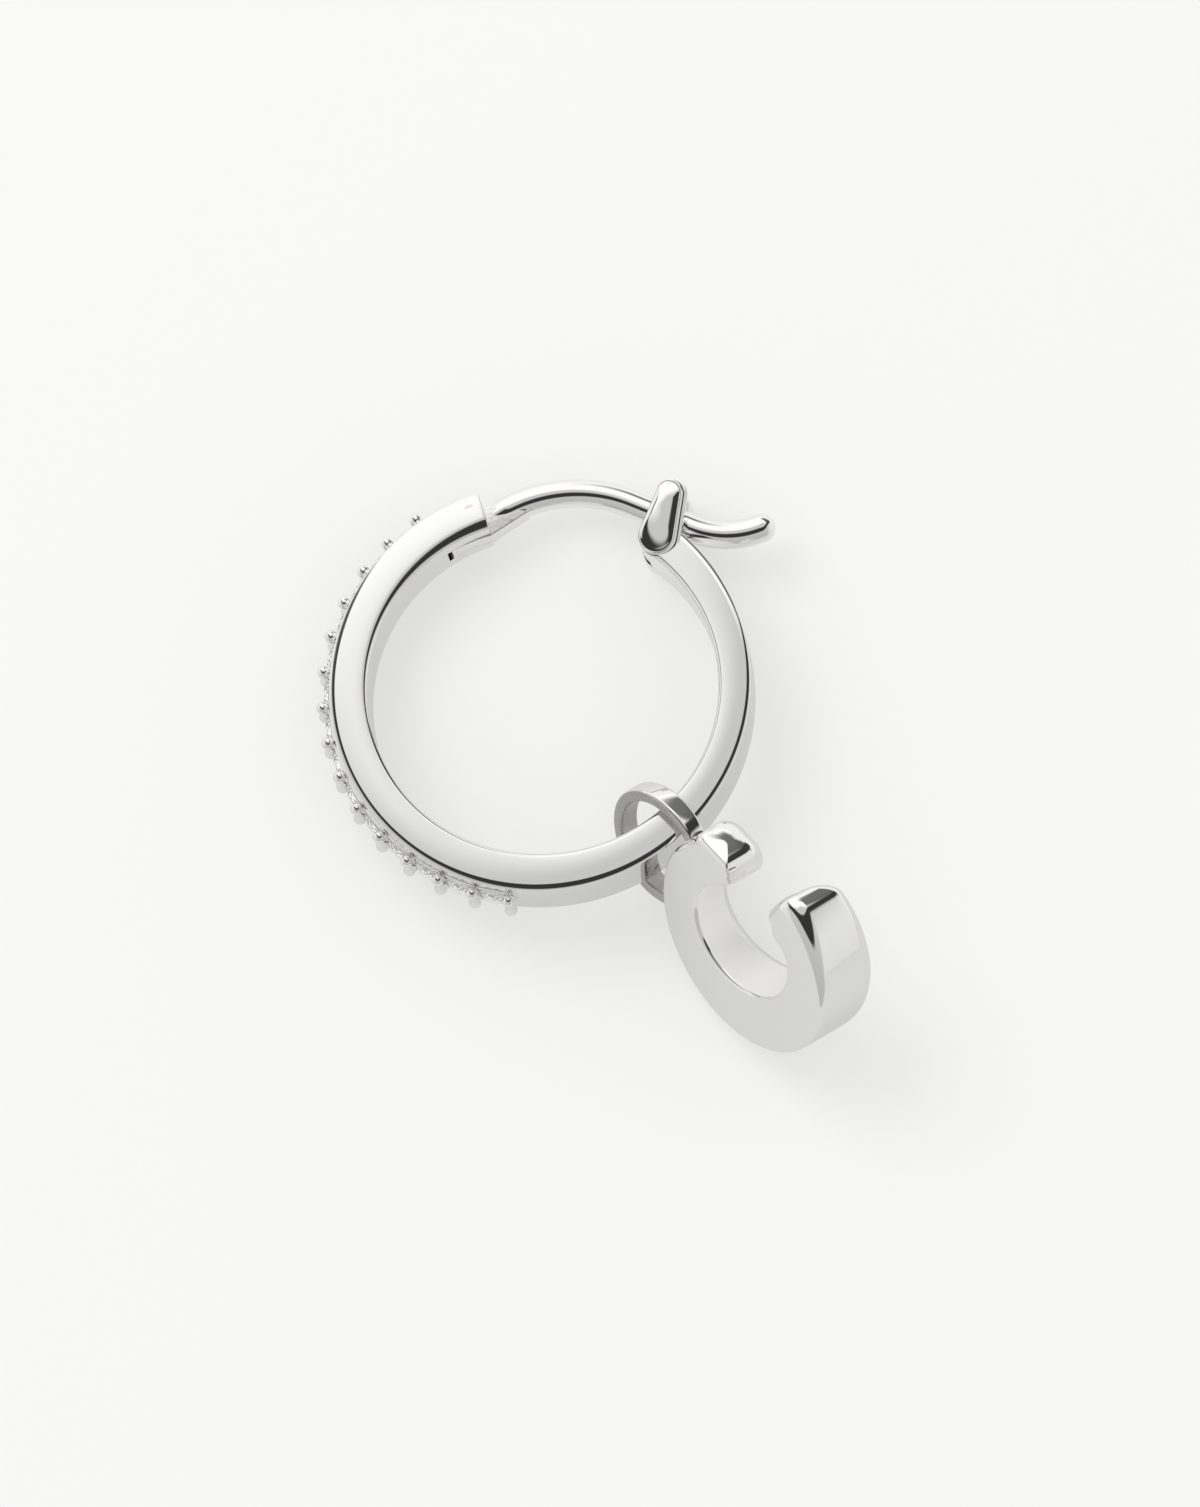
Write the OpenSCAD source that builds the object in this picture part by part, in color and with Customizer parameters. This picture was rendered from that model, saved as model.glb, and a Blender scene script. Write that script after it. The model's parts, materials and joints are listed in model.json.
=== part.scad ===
/* [Hoop band] */
// Diameter over the crown of the band's outer wall
hoop_d = 14.8; // [13:0.1:18]
// Diameter of the round space inside the band
hoop_inner_d = 12.5; // [10.8:0.1:12.8]
// How far that space sits off centre, which thins the plain side
hoop_offset = 0.12; // [0:0.02:0.2]
// Width of the band along the hoop's axis
band_w = 2.5; // [2.1:0.1:3]
// Rounding of the band's four long edges
band_round = 0.26; // [0.15:0.01:0.3]
// How far the outer wall crowns between its edges
band_crown = 0.1; // [0.04:0.01:0.15]
// Angle of the hinge end, anticlockwise from the plain side
hinge_end = 107; // [104:0.5:112]

/* [Hinge] */
// Diameter of the hinge pin
pin_d = 0.4; // [0.3:0.01:0.5]
// Running clearance of the ear wire round the pin, on the radius
pin_clear = 0.03; // [0.02:0.005:0.05]
// Gap all round between the pin and the two ears of the band that hold it
pin_press = 0.015; // [0.01:0.005:0.03]
// Depth of the pin's axis below the band's crown
pin_depth = 0.5; // [0.42:0.01:0.6]
// Distance of the pin's axis from the band's end face
pin_back = 0.45; // [0.36:0.01:0.6]
// Thickness of the tongue that swings on the pin
tongue_t = 0.8; // [0.6:0.02:0.9]
// Gap between the tongue and each side of its slot
tongue_gap = 0.06; // [0.04:0.01:0.1]
// Length of the tongue's tail beyond the pin
tail_len = 1.3; // [1:0.05:1.6]
// How far the tongue stands proud of the band's inner wall
tongue_proud = 0.3; // [0.1:0.02:0.4]

/* [Ear wire] */
// Diameter of the round ear wire
wire_d = 1; // [0.8:0.02:1.1]
// Radius of the arch that passes through the ear, at the wire's centre
arch_r = 5.05; // [4.5:0.05:5.8]
// How far the wire's middle sits below the pin where it leaves the band's end
wire_drop = 0.27; // [0.2:0.01:0.35]
// Height at which the wire crosses the legs of the catch, from the middle of their feet
wire_up = 0.99; // [0.95:0.01:1.1]
// Direction of the straight stretch that crosses the catch
wire_fall = -23; // [-26:0.5:-20]
// Length of the straight stretch beyond the catch
wire_past = 0.98; // [0.7:0.02:1.4]
// Radius of the upturned thumb end, at the wire's centre
thumb_r = 3.22; // [2.6:0.02:3.8]
// Arc of the thumb end
thumb_arc = 44.5; // [35:0.5:55]

/* [Catch] */
// Gap between the ear wire and each leg of the catch
catch_gap = 0.06; // [0.04:0.01:0.1]
// How far each leg stands proud of the band's side face
leg_proud = 0.06; // [0.02:0.01:0.12]
// Radius of a leg's foot, where it is soldered to the band
leg_foot_r = 0.62; // [0.5:0.02:0.7]
// Radius of a leg's rounded top
leg_top_r = 0.37; // [0.32:0.01:0.45]
// Length of a leg, from the middle of its foot to the middle of its top
leg_len = 1.66; // [1.5:0.02:1.8]
// Angle of the middle of the foot, anticlockwise from the plain side
leg_at = 52.5; // [51:0.5:54]
// Lean of the legs, anticlockwise from the plain side
leg_lean = 74; // [68:1:80]

/* [Stones] */
// Number of stones in the row
stone_count = 14; // [10:1:14]
// Diameter of a stone at its girdle
stone_d = 1.06; // [0.9:0.02:1.1]
// Angle of the first pair of prongs
row_from = 125; // [123:0.5:127]
// Angle from one pair of prongs to the next
row_pitch = 9.75; // [9.7:0.05:9.9]
// Height of the girdles above the crown of the band
girdle_up = 0.12; // [0.08:0.01:0.16]
// Clearance between a stone and its seat
seat_clear = 0.03; // [0.02:0.005:0.05]
// Height of the setting strip above the crown of the band
strip_up = 0.14; // [0.08:0.01:0.2]
// Width of the setting strip along the hoop's axis
strip_w = 1.5; // [1.4:0.02:1.7]
// Diameter of a prong's bead
bead_d = 0.46; // [0.38:0.01:0.48]
// Height of a bead's middle above the crown of the band
bead_up = 0.2; // [0.16:0.01:0.26]
// Distance between the two beads of a pair, along the hoop's axis
bead_apart = 1.2; // [1.18:0.01:1.3]

/* [Charm] */
// Diameter of the open curl
curl_d = 8.34; // [7.6:0.02:8.8]
// Mean diameter of the space inside the curl
curl_inner_d = 4.6; // [4.2:0.02:5]
// Thickness of the curl halfway between its top and its foot
curl_t = 2.25; // [2:0.05:2.5]
// How much thicker the curl is at its foot than at its top
curl_taper = 1.15; // [0.8:0.05:1.3]
// Rounding of the curl's front edges
curl_round = 0.17; // [0.1:0.01:0.24]
// Rounding of the curl's back edges
curl_back_round = 0.62; // [0.4:0.01:0.7]
// How far the two ends of the curl swell past their front edges
end_dome = 0.35; // [0.2:0.01:0.4]

/* [Bail] */
// Outer diameter of the bail's loop
bail_d = 4.64; // [4.5:0.02:5]
// Thickness of the bail's strip
bail_t = 0.44; // [0.3:0.01:0.46]
// Width of the strip at the far side of the loop
bail_w = 0.8; // [0.6:0.02:0.9]
// Width of the strip where it is soldered to the curl
bail_root_w = 0.6; // [0.4:0.02:0.8]
// How deep the loop is sunk into the top of the curl
bail_sunk = 1.55; // [1.4:0.01:1.7]
// Depth of the middle of the strip behind the curl's front
bail_back = 0.72; // [0.6:0.01:0.8]

/* [How the charm lies] */
// Angle on the hoop where the bail hangs
hang_at = -52.2; // [-55:0.1:-50]
// Distance of the middle of the loop from the hoop's axis
hang_r = 7.07; // [7:0.01:7.1]
// Height of the middle of the loop above the middle of the band
hang_up = 0.05; // [-0.1:0.01:0.1]
// Turn of the charm about the line that it hangs along
charm_twist = -26.7; // [-28:0.1:-24]
// Rise of the charm's foot
charm_lift = -8.9; // [-11:0.1:-7]
// Swing of the charm along the hoop
charm_swing = 4.2; // [2:0.1:6]

/* [Hidden] */
$fn = 64;

SILVER = [0.86, 0.86, 0.87];
CLEAR = [0.93, 0.96, 0.98];

EPS = 0.01;
FAR = 40;

// Band
crown_r = hoop_d / 2;
edge_r = crown_r - band_crown;
inner_r = hoop_inner_d / 2;
crown_arc_r = (pow(band_w / 2, 2) + pow(band_crown, 2)) / (2 * band_crown);

// Hinge, in the hoop's plane
pin_r = crown_r - pin_depth;
pin_angle = hinge_end + asin(pin_back / pin_r);
pin_xy = [pin_r * cos(pin_angle), pin_r * sin(pin_angle)];
hub_r = pin_depth - EPS;
shoulder_r = norm([pin_back, pin_depth]) + 0.03;
slot_w = tongue_t + 2 * tongue_gap;
slot_floor_r = pin_r + 0.02;
tail_to = pin_angle + tail_len / pin_r * 180 / PI;
slot_to = tail_to + 1.2;
tongue_r = inner_r - tongue_proud;

// Catch
leg_foot = polar((crown_r + inner_r) / 2 - 0.06, leg_at);
leg_top = leg_foot + polar(leg_len, leg_lean);
fork_w = band_w + 2 * leg_proud;
band_to = leg_at - 1;

// Ear wire: an arch, a straight stretch through the catch and a thumb end
wire_r = wire_d / 2;
wire_start = polar(pin_r - wire_drop, hinge_end - 1.4);
wire_cross = leg_foot + polar(wire_up, leg_lean);
wire_rise = wire_fall + 90;
start_along = (wire_start - wire_cross) * polar(1, wire_fall);
start_up = (wire_start - wire_cross) * polar(1, wire_rise);
straight_from = start_along + sqrt(-start_up * (start_up + 2 * arch_r));
arch_end = wire_cross + polar(straight_from, wire_fall);
arch_c = arch_end - polar(arch_r, wire_rise);
wire_from = angle_of(wire_start - arch_c);
thumb_start = wire_cross + polar(wire_past, wire_fall);
thumb_c = thumb_start + polar(thumb_r, wire_rise);
thumb_to = wire_rise + 180 + thumb_arc;
ball_up = 0.015;
ball_gap = 0.03;
heel = arch_c + polar(arch_r - wire_r / 2, wire_from - 13);
throat_w = wire_d + 2 * catch_gap;

// Stones
girdle_r = crown_r + girdle_up;
strip_r = crown_r + strip_up;
bead_r = crown_r + bead_up;
crown_h = 0.16 * stone_d;
girdle_h = 0.04 * stone_d;
pavilion_h = 0.43 * stone_d;
table_r = 0.28 * stone_d;
culet_hole_r = 0.11 * stone_d;

// Charm, drawn with its bail at the origin, its foot along X and its opening along Z
curl_r = curl_d / 2;
curl_c = bail_d / 2 + curl_r - bail_sunk;
bail_r = bail_d / 2;
CURL_STEPS = 3;
// Lines across the curl from its top end to its foot end: direction and distance at the inside,
// direction at the outside. Directions turn from the bail; distances are shares of the mean radius
CURL_LINES = [
    [61.5, 1.29, 36], [60, 1.12, 30.5], [53, 1.035, 25.5], [43.5, 0.995, 20], [33, 1.013, 15.5],
    [22, 1.043, 10], [5, 1.06, 2], [-15, 1.035, -12], [-40, 0.975, -35], [-65, 0.895, -62],
    [-90, 0.845, -90], [-115, 0.835, -116], [-140, 0.86, -142], [-165, 0.913, -166],
    [-188, 0.97, -191], [-204, 1.013, -209], [-215, 1.026, -220], [-225, 0.978, -230],
    [-233, 0.93, -236], [-239, 0.945, -241], [-246.5, 1.05, -246.5]];
// Rounding of an end, in shares of its swell: how far out, then how far the sides, the front and
// the back draw in
TOP_DOME = [[0.45, 0.06, 0.17, 0.06], [0.85, 0.23, 0.69, 0.23], [1.15, 0.63, 1.57, 0.69]];
FOOT_DOME = [[0.45, 0.14, 0.06, 0.86], [0.8, 0.4, 0.23, 2.14], [1, 0.97, 0.69, 3.71]];

// How the whole lies: lean of the hoop, its direction, and the way to the middle of the footprint
lean = 6.34;
lean_dir = -59.1;
rest_shift = [-1.842, 2.608, 2.021];

function polar(r, a) = [r * cos(a), r * sin(a)];
function angle_of(p) = atan2(p[1], p[0]);
function stone_name(i) = i < 10 ? str("stone_0", i) : str("stone_", i);

// Band

// Half section of a disc with crowned, rounded rim
module disc_section() {
    x = edge_r - band_round;
    z = band_w / 2 - band_round;
    intersection() {
        union() {
            translate([0, -band_w / 2]) square([x, band_w]);
            translate([0, -z]) square([crown_r, 2 * z]);
            for (s = [-1, 1]) translate([x, s * z]) circle(r = band_round);
        }
        translate([crown_r - crown_arc_r, 0]) circle(r = crown_arc_r, $fn = 256);
    }
}

// Half section of the space inside the band, flared where the inner edges are rounded
module inner_section() {
    z = band_w / 2 - band_round;
    translate([0, -band_w]) square([inner_r, 2 * band_w]);
    for (s = [0, 1]) mirror([0, s]) difference() {
        translate([0, z]) square([inner_r + band_round, band_w]);
        translate([inner_r + band_round, z]) circle(r = band_round);
    }
}

// Wedge from one direction to another, seen from the hoop's centre
module sector(from, to, h) {
    steps = 8;
    linear_extrude(h, center = true)
        polygon(concat([[0, 0]], [for (i = [0:steps]) polar(FAR, from + (to - from) * i / steps)]));
}

module band() {
    difference() {
        rotate_extrude() disc_section();
        translate([hoop_offset, 0, 0]) rotate_extrude() inner_section();
        sector(band_to, hinge_end, 2 * band_w);
    }
}

// Catch

// Leaf outline of a leg: two circles and the four-sided piece that joins them
module leaf(grow) {
    spread = asin((leg_foot_r - leg_top_r) / leg_len);
    side = [for (s = [1, -1]) leg_lean + s * (90 - spread)];
    translate(leg_foot) circle(r = leg_foot_r + grow);
    translate(leg_top) circle(r = leg_top_r + grow);
    polygon([leg_foot + polar(leg_foot_r + grow, side[0]), leg_top + polar(leg_top_r + grow, side[0]),
             leg_top + polar(leg_top_r + grow, side[1]), leg_foot + polar(leg_foot_r + grow, side[1])]);
}

module catch() {
    soft = 0.12;
    linear_extrude(fork_w - 2 * soft, center = true) leaf(0);
    linear_extrude(fork_w, center = true) leaf(-soft);
}

// Way for the ear wire between the legs and into the band's end
module throat() {
    linear_extrude(throat_w, center = true) translate(wire_cross) rotate(wire_fall)
        translate([-FAR, -wire_r - catch_gap]) square([2 * FAR, FAR]);
}

// Setting

module at_stone(i) {
    rotate([0, 0, row_from + (i - 0.5) * row_pitch]) translate([girdle_r, 0, 0]) rotate([0, 90, 0]) children();
}

module setting_strip() {
    difference() {
        intersection() {
            cylinder(r = strip_r, h = strip_w, center = true, $fn = 180);
            sector(row_from - 1.5, row_from + stone_count * row_pitch + 1.5, band_w);
        }
        cylinder(r = (crown_r + inner_r) / 2, h = band_w, center = true, $fn = 180);
    }
}

// Bead and stem turned as one
module prong() {
    stem = bead_d + bead_up;
    rotate_extrude($fn = 32) intersection() {
        union() {
            circle(d = bead_d, $fn = 32);
            translate([0, -stem]) square([0.38 * bead_d, stem]);
        }
        translate([0, -FAR]) square([FAR, 2 * FAR]);
    }
}

module prongs() {
    for (i = [0:stone_count], s = [-1, 1]) rotate([0, 0, row_from + i * row_pitch])
        translate([bead_r, 0, s * bead_apart / 2]) rotate([0, 90, 0]) prong();
}

// Bearing of each stone, turned as one: a cone under the girdle and a round way in above it
module seats() {
    seat_r = stone_d / 2 + seat_clear;
    bearing = -girdle_h - seat_clear;
    bottom = bearing - pavilion_h - seat_clear;
    for (i = [1:stone_count]) at_stone(i) rotate_extrude()
        polygon([[0, bottom], [culet_hole_r, bottom], [seat_r, bearing], [seat_r, FAR / 10], [0, FAR / 10]]);
}

// Hinge

module hinge_slot() {
    linear_extrude(slot_w, center = true) {
        // pocket for the tail, open to the inside of the hoop
        intersection() {
            difference() {
                circle(r = slot_floor_r, $fn = 180);
                circle(r = tongue_r - 1);
            }
            polygon([[0, 0], polar(FAR, hinge_end - 2), polar(FAR, (hinge_end + slot_to) / 2), polar(FAR, slot_to)]);
        }
        // way through the band round the hub
        translate(pin_xy) circle(r = hub_r + 0.07);
        rotate(hinge_end) translate([slot_floor_r - 0.4, -1]) square([2, 1 + pin_back]);
    }
}

module pin_bore(clear) {
    translate([pin_xy[0], pin_xy[1], -band_w]) cylinder(r = pin_d / 2 + clear, h = 2 * band_w, $fn = 48);
}

module hoop() {
    color(SILVER) {
        difference() {
            union() {
                band();
                setting_strip();
                catch();
            }
            seats();
            throat();
            hinge_slot();
            pin_bore(pin_press);
        }
        prongs();
    }
}

module hinge_pin() {
    color(SILVER) translate([pin_xy[0], pin_xy[1], 0]) cylinder(d = pin_d, h = band_w - 0.02, center = true, $fn = 48);
}

// Ear wire

module tongue() {
    linear_extrude(tongue_t, center = true) {
        intersection() {
            difference() {
                circle(r = slot_floor_r - 0.03, $fn = 180);
                circle(r = tongue_r, $fn = 180);
            }
            polygon([[0, 0], polar(FAR, hinge_end), polar(FAR, hinge_end + 4), polar(FAR, tail_to)]);
        }
        // heel that fairs the tongue into the underside of the wire
        polygon([polar(tongue_r, hinge_end + 0.5), heel, polar(pin_r - 0.1, hinge_end - 6), pin_xy]);
        translate(pin_xy) circle(r = hub_r);
    }
}

module wire_arc(centre, r, from, to) {
    translate([centre[0], centre[1], 0]) rotate([0, 0, from]) rotate_extrude(angle = to - from, $fn = 180)
        translate([r, 0]) circle(d = wire_d, $fn = 48);
}

// Ball that joins or ends round wire whose end lies inside it
module wire_ball(at) {
    translate([at[0], at[1], 0]) sphere(d = wire_d + 2 * ball_up, $fn = 48);
}

module ear_wire() {
    straight = wire_past - straight_from;
    color(SILVER) difference() {
        union() {
            difference() {
                wire_arc(arch_c, arch_r, wire_rise + ball_gap / arch_r * 180 / PI, wire_from);
                // rounded shoulder that turns clear of the band's end
                translate([pin_xy[0], pin_xy[1], -band_w]) cylinder(r = shoulder_r, h = 2 * band_w);
            }
            wire_ball(arch_end);
            translate([arch_end[0], arch_end[1], 0]) rotate([0, 90, wire_fall])
                translate([0, 0, ball_gap]) cylinder(d = wire_d, h = straight - 2 * ball_gap, $fn = 48);
            wire_ball(thumb_start);
            wire_arc(thumb_c, thumb_r, wire_rise + 180 + ball_gap / thumb_r * 180 / PI, thumb_to);
            wire_ball(thumb_c + polar(thumb_r, thumb_to));
            tongue();
        }
        pin_bore(pin_clear);
    }
}

// Stones

// Round brilliant with its table along Z and its girdle's top edge at z = 0
module brilliant() {
    g = stone_d / 2;
    star_r = (table_r + g) * 0.53;
    pts = concat(
        [for (k = [0:7]) concat(polar(table_r, 45 * k), [crown_h])],
        [for (k = [0:7]) concat(polar(star_r, 45 * k + 22.5), [0.58 * crown_h])],
        [for (k = [0:15]) concat(polar(g, 22.5 * k), [0])],
        [for (k = [0:15]) concat(polar(g, 22.5 * k), [-girdle_h])],
        [for (k = [0:7]) concat(polar(0.24 * g, 45 * k + 22.5), [-girdle_h - 0.78 * pavilion_h])],
        [[0, 0, -girdle_h - pavilion_h]]);
    top = 16;
    low = 32;
    pav = 48;
    faces = concat(
        [[for (k = [7:-1:0]) k]],
        [for (k = [0:7]) [k, (k + 1) % 8, 8 + k]],
        [for (k = [0:7]) [k, 8 + k, top + 2 * k]],
        [for (k = [0:7]) [(k + 1) % 8, top + (2 * k + 2) % 16, 8 + k]],
        [for (k = [0:7]) [8 + k, top + 2 * k + 1, top + 2 * k]],
        [for (k = [0:7]) [8 + k, top + (2 * k + 2) % 16, top + 2 * k + 1]],
        [for (k = [0:15]) [top + k, top + (k + 1) % 16, low + (k + 1) % 16, low + k]],
        [for (k = [0:7]) [low + 2 * k, low + 2 * k + 1, pav + k]],
        [for (k = [0:7]) [low + 2 * k + 1, low + (2 * k + 2) % 16, pav + k]],
        [for (k = [0:7]) [low + 2 * k, pav + k, 56]],
        [for (k = [0:7]) [low + (2 * k + 2) % 16, 56, pav + k]]);
    polyhedron(pts, faces);
}

module stone(i) {
    color(CLEAR) at_stone(i) brilliant();
}

// Charm

// Point of the curl's plane at a distance and direction from its middle, as [down, across]
function curl_point(r, a) = [curl_c - r * cos(a), r * sin(a)];
// A line of the list, blended smoothly with its neighbours at a share of the way to the next
function blend(a, b, c, d, t) = b + (c - a) * t / 2 + (a - 2.5 * b + 2 * c - d / 2) * t * t
    + (1.5 * b - a / 2 - 1.5 * c + d / 2) * t * t * t;
function line_at(k, t) = let (n = len(CURL_LINES) - 1)
    blend(CURL_LINES[max(0, k - 1)], CURL_LINES[k], CURL_LINES[min(n, k + 1)], CURL_LINES[min(n, k + 2)], t);
// Thickness of the curl at a distance below the bail
function curl_depth(x) = curl_t + curl_taper * (x - curl_c) / curl_d;

// One section as a loop of points with its four corners rounded
function corner(cx, cy, r, from, n) = [for (i = [0:n]) [cx + r * cos(from + 90 * i / n), cy + r * sin(from + 90 * i / n)]];
function section(w, t, f, b) = concat(
    corner(w - b, t - b, b, 0, 4), corner(b, t - b, b, 90, 4),
    corner(f, f, f, 180, 3), corner(w - f, f, f, 270, 3));

// Section on one line of the curl, moved out and drawn in where it belongs to a rounded end
function curl_ring(line, out, side, front, back) = let (
    p = curl_point(line[1] * curl_inner_d / 2, line[0]), q = curl_point(curl_r, line[2]),
    u = (q - p) / norm(q - p), w = norm(q - p) - 2 * side,
    t = curl_depth((p[0] + q[0]) / 2) - front - back,
    f = max(0.04, curl_round - side / 3), b = max(0.06, curl_back_round - side * 1.2))
    [for (c = section(w, t, f, b)) let (m = p + u * (side + c[0]) + [-u[1], u[0]] * out)
        [m[0], front + c[1], m[1]]];

module curl() {
    last = len(CURL_LINES) - 1;
    rings = concat(
        [for (i = [2:-1:0]) let (e = end_dome * TOP_DOME[i]) curl_ring(CURL_LINES[0], -e[0], e[1], e[2], e[3])],
        [for (k = [0:last - 1], j = [0:CURL_STEPS - 1]) curl_ring(line_at(k, j / CURL_STEPS), 0, 0, 0, 0)],
        [curl_ring(CURL_LINES[last], 0, 0, 0, 0)],
        [for (i = [0:2]) let (e = end_dome * FOOT_DOME[i]) curl_ring(CURL_LINES[last], e[0], e[1], e[2], e[3])]);
    n = len(rings[0]);
    m = len(rings);
    faces = concat([[for (i = [0:n - 1]) i]],
        [for (j = [0:m - 2], i = [0:n - 1]) let (k = (i + 1) % n) [j * n + i, (j + 1) * n + i, (j + 1) * n + k]],
        [for (j = [0:m - 2], i = [0:n - 1]) let (k = (i + 1) % n) [j * n + i, (j + 1) * n + k, j * n + k]],
        [[for (i = [n - 1:-1:0]) (m - 1) * n + i]]);
    polyhedron([for (r = rings, p = r) p], faces);
}

module bail() {
    translate([0, bail_back, 0]) intersection() {
        rotate([90, 0, 0]) difference() {
            cylinder(r = bail_r, h = bail_w, center = true);
            cylinder(r = bail_r - bail_t, h = 2 * bail_w, center = true);
        }
        linear_extrude(bail_d, center = true)
            polygon([[-bail_r, -bail_w / 2], [0, -bail_w / 2], [bail_r, -bail_root_w / 2],
                     [bail_r, bail_root_w / 2], [0, bail_w / 2], [-bail_r, bail_w / 2]]);
    }
}

module charm() {
    color(SILVER) rotate([0, 0, hang_at]) translate([hang_r, 0, hang_up])
        rotate([charm_twist, charm_lift, charm_swing])
            translate([0, -bail_back, 0]) {
                curl();
                bail();
            }
}

// Everything lies on the surface as one, the hoop leaning on its bail side
module lying() {
    translate(rest_shift) rotate(a = lean, v = [cos(lean_dir - 90), sin(lean_dir - 90), 0]) children();
}

lying() {
    hoop();
    hinge_pin();
    ear_wire();
    charm();
    for (i = [1:stone_count]) stone(i);
}
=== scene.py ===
# %% [markdown]
# # A hoop earring with a stone row and an open curl charm
#
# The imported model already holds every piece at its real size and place. This notebook dresses it:
# it remakes the silver as smooth, finely rounded metal, keeps the cut stones, and lights the lot
# the way small polished things are usually lit, with broad soft light and a few dark gaps in it.
# Lengths below are millimetres in the hoop's own frame, where the hoop's axis is Z and angle 0 is
# the plain side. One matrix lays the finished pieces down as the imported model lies.

import json
import math

import bmesh
import bpy
from mathutils import Matrix, Vector


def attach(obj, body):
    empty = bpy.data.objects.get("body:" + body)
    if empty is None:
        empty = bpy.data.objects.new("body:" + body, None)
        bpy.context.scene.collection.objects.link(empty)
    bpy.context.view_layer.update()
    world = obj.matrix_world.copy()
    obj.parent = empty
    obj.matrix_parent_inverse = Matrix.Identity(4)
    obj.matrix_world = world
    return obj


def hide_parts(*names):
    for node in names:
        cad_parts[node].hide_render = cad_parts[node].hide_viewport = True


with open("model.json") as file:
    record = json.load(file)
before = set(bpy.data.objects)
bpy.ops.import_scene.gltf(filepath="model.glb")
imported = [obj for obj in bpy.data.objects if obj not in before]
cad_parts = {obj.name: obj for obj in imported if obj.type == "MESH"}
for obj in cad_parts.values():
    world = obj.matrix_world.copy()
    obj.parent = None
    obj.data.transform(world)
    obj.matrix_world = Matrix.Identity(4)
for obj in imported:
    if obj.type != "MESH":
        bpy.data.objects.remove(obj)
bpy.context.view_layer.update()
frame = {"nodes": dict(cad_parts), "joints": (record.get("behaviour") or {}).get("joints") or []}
MM = 0.001

# %% [markdown]
# ## The hoop's own frame
#
# The hoop leans a little, because the charm holds it up on one side. The ear wire's pin is parallel
# to the hoop's axis, so the pin's direction and place in the record give the whole lean. Reading
# them there, and not repeating the numbers, keeps these pieces on the model if it lies differently.

# %% Lay-down matrix from the hinge
PIN_R = 6.9
HINGE_END = 107.0
PIN_BACK = 0.45


def polar(radius, degrees, z=0.0):
    """Point in the hoop's frame at a distance and direction from its axis."""
    turn = math.radians(degrees)
    return Vector((radius * math.cos(turn), radius * math.sin(turn), z))


PIN_ANGLE = HINGE_END + math.degrees(math.asin(PIN_BACK / PIN_R))
hinge = frame["joints"][0]
hoop_axis = Vector(hinge["axis"]).normalized()
LEAN = Vector((0, 0, 1)).rotation_difference(hoop_axis).to_matrix().to_4x4()
pin_place = Vector(hinge["pos_m"])
HOOP_CENTRE = pin_place - LEAN @ (polar(PIN_R, PIN_ANGLE) * MM)
LYING = Matrix.Translation(HOOP_CENTRE) @ LEAN @ Matrix.Scale(MM, 4)
print("hoop centre", [round(v / MM, 3) for v in HOOP_CENTRE], "mm, lean",
      round(math.degrees(hoop_axis.angle(Vector((0, 0, 1)))), 2), "degrees")

# %% [markdown]
# ## Shader groups for a hand finish
#
# Polished silver is never a perfect mirror. A polishing mop leaves the surface very slightly wavy,
# with hair-fine marks that only show where light grazes them. Both effects are one node group, so
# that every silver piece shares it with its own values: the group gives a roughness and a height.

# %% Node group: mop marks
def node(tree, kind, inputs=(), **settings):
    """Node with its settings, and its inputs from sockets or plain values."""
    made = tree.nodes.new(kind)
    for key, value in settings.items():
        setattr(made, key, value)
    for key, value in dict(inputs).items():
        if isinstance(value, bpy.types.NodeSocket):
            tree.links.new(value, made.inputs[key])
        else:
            made.inputs[key].default_value = value
    return made


def noise(tree, vector, scale, detail=2.0, rough=0.5):
    """Noise texture read at a vector socket."""
    return node(tree, "ShaderNodeTexNoise", {
        "Vector": vector, "Scale": scale, "Detail": detail, "Roughness": rough}).outputs["Fac"]


def calc(tree, operation, *values):
    """Maths node on sockets or plain numbers, in a shader or geometry tree."""
    return node(tree, "ShaderNodeMath", dict(enumerate(values)), operation=operation).outputs[0]


FINE_MARKS = 9000.0
MARK_INPUTS = ("Wave per metre", "Roughness low", "Roughness high")


def make_mop_marks():
    """Roughness and height of hand-polished metal, from object coordinates in metres."""
    tree = bpy.data.node_groups.new("mop_marks", "ShaderNodeTree")
    for name in MARK_INPUTS:
        tree.interface.new_socket(name, in_out="INPUT", socket_type="NodeSocketFloat")
    for name in ("Roughness", "Height"):
        tree.interface.new_socket(name, in_out="OUTPUT", socket_type="NodeSocketFloat")
    given = tree.nodes.new("NodeGroupInput").outputs
    out = tree.nodes.new("NodeGroupOutput").inputs
    place = tree.nodes.new("ShaderNodeTexCoord").outputs["Object"]
    tree.links.new(noise(tree, place, given["Wave per metre"], 1.0), out["Height"])
    fine = noise(tree, place, FINE_MARKS, 3.0, 0.6)
    spread = calc(tree, "SUBTRACT", given["Roughness high"], given["Roughness low"])
    tree.links.new(calc(tree, "MULTIPLY_ADD", fine, spread, given["Roughness low"]), out["Roughness"])
    return tree


MOP_MARKS = make_mop_marks()
print("shader group", MOP_MARKS.name, "made")

# %% [markdown]
# ## Silver and stones
#
# Most of the silver is polished. The mop hardly reached the inside of the curl, which is half matt.
# The sides of the bail and the wire's root still show the mould's skin, dark on the one and light on
# the other. The stones are clear. Their index is a little under cubic zirconia's 2.15, because at
# this size that looks more like the real ones. The stones and the small silver round them also glow
# very faintly and evenly, which stands for the light that so many small facets and balls gather.

# %% Finishes
STONE_INDEX = 1.9
# painted light: a faint even glow on the stones, standing for the light that their facets gather
STONE_GLOW = 0.06
# painted light: a fainter even glow on the collars and prongs round the stones
SETTING_GLOW = 0.01
BARE_SILVER = (0.93, 0.925, 0.91, 1)
WHITE = (1, 1, 1, 1)


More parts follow.
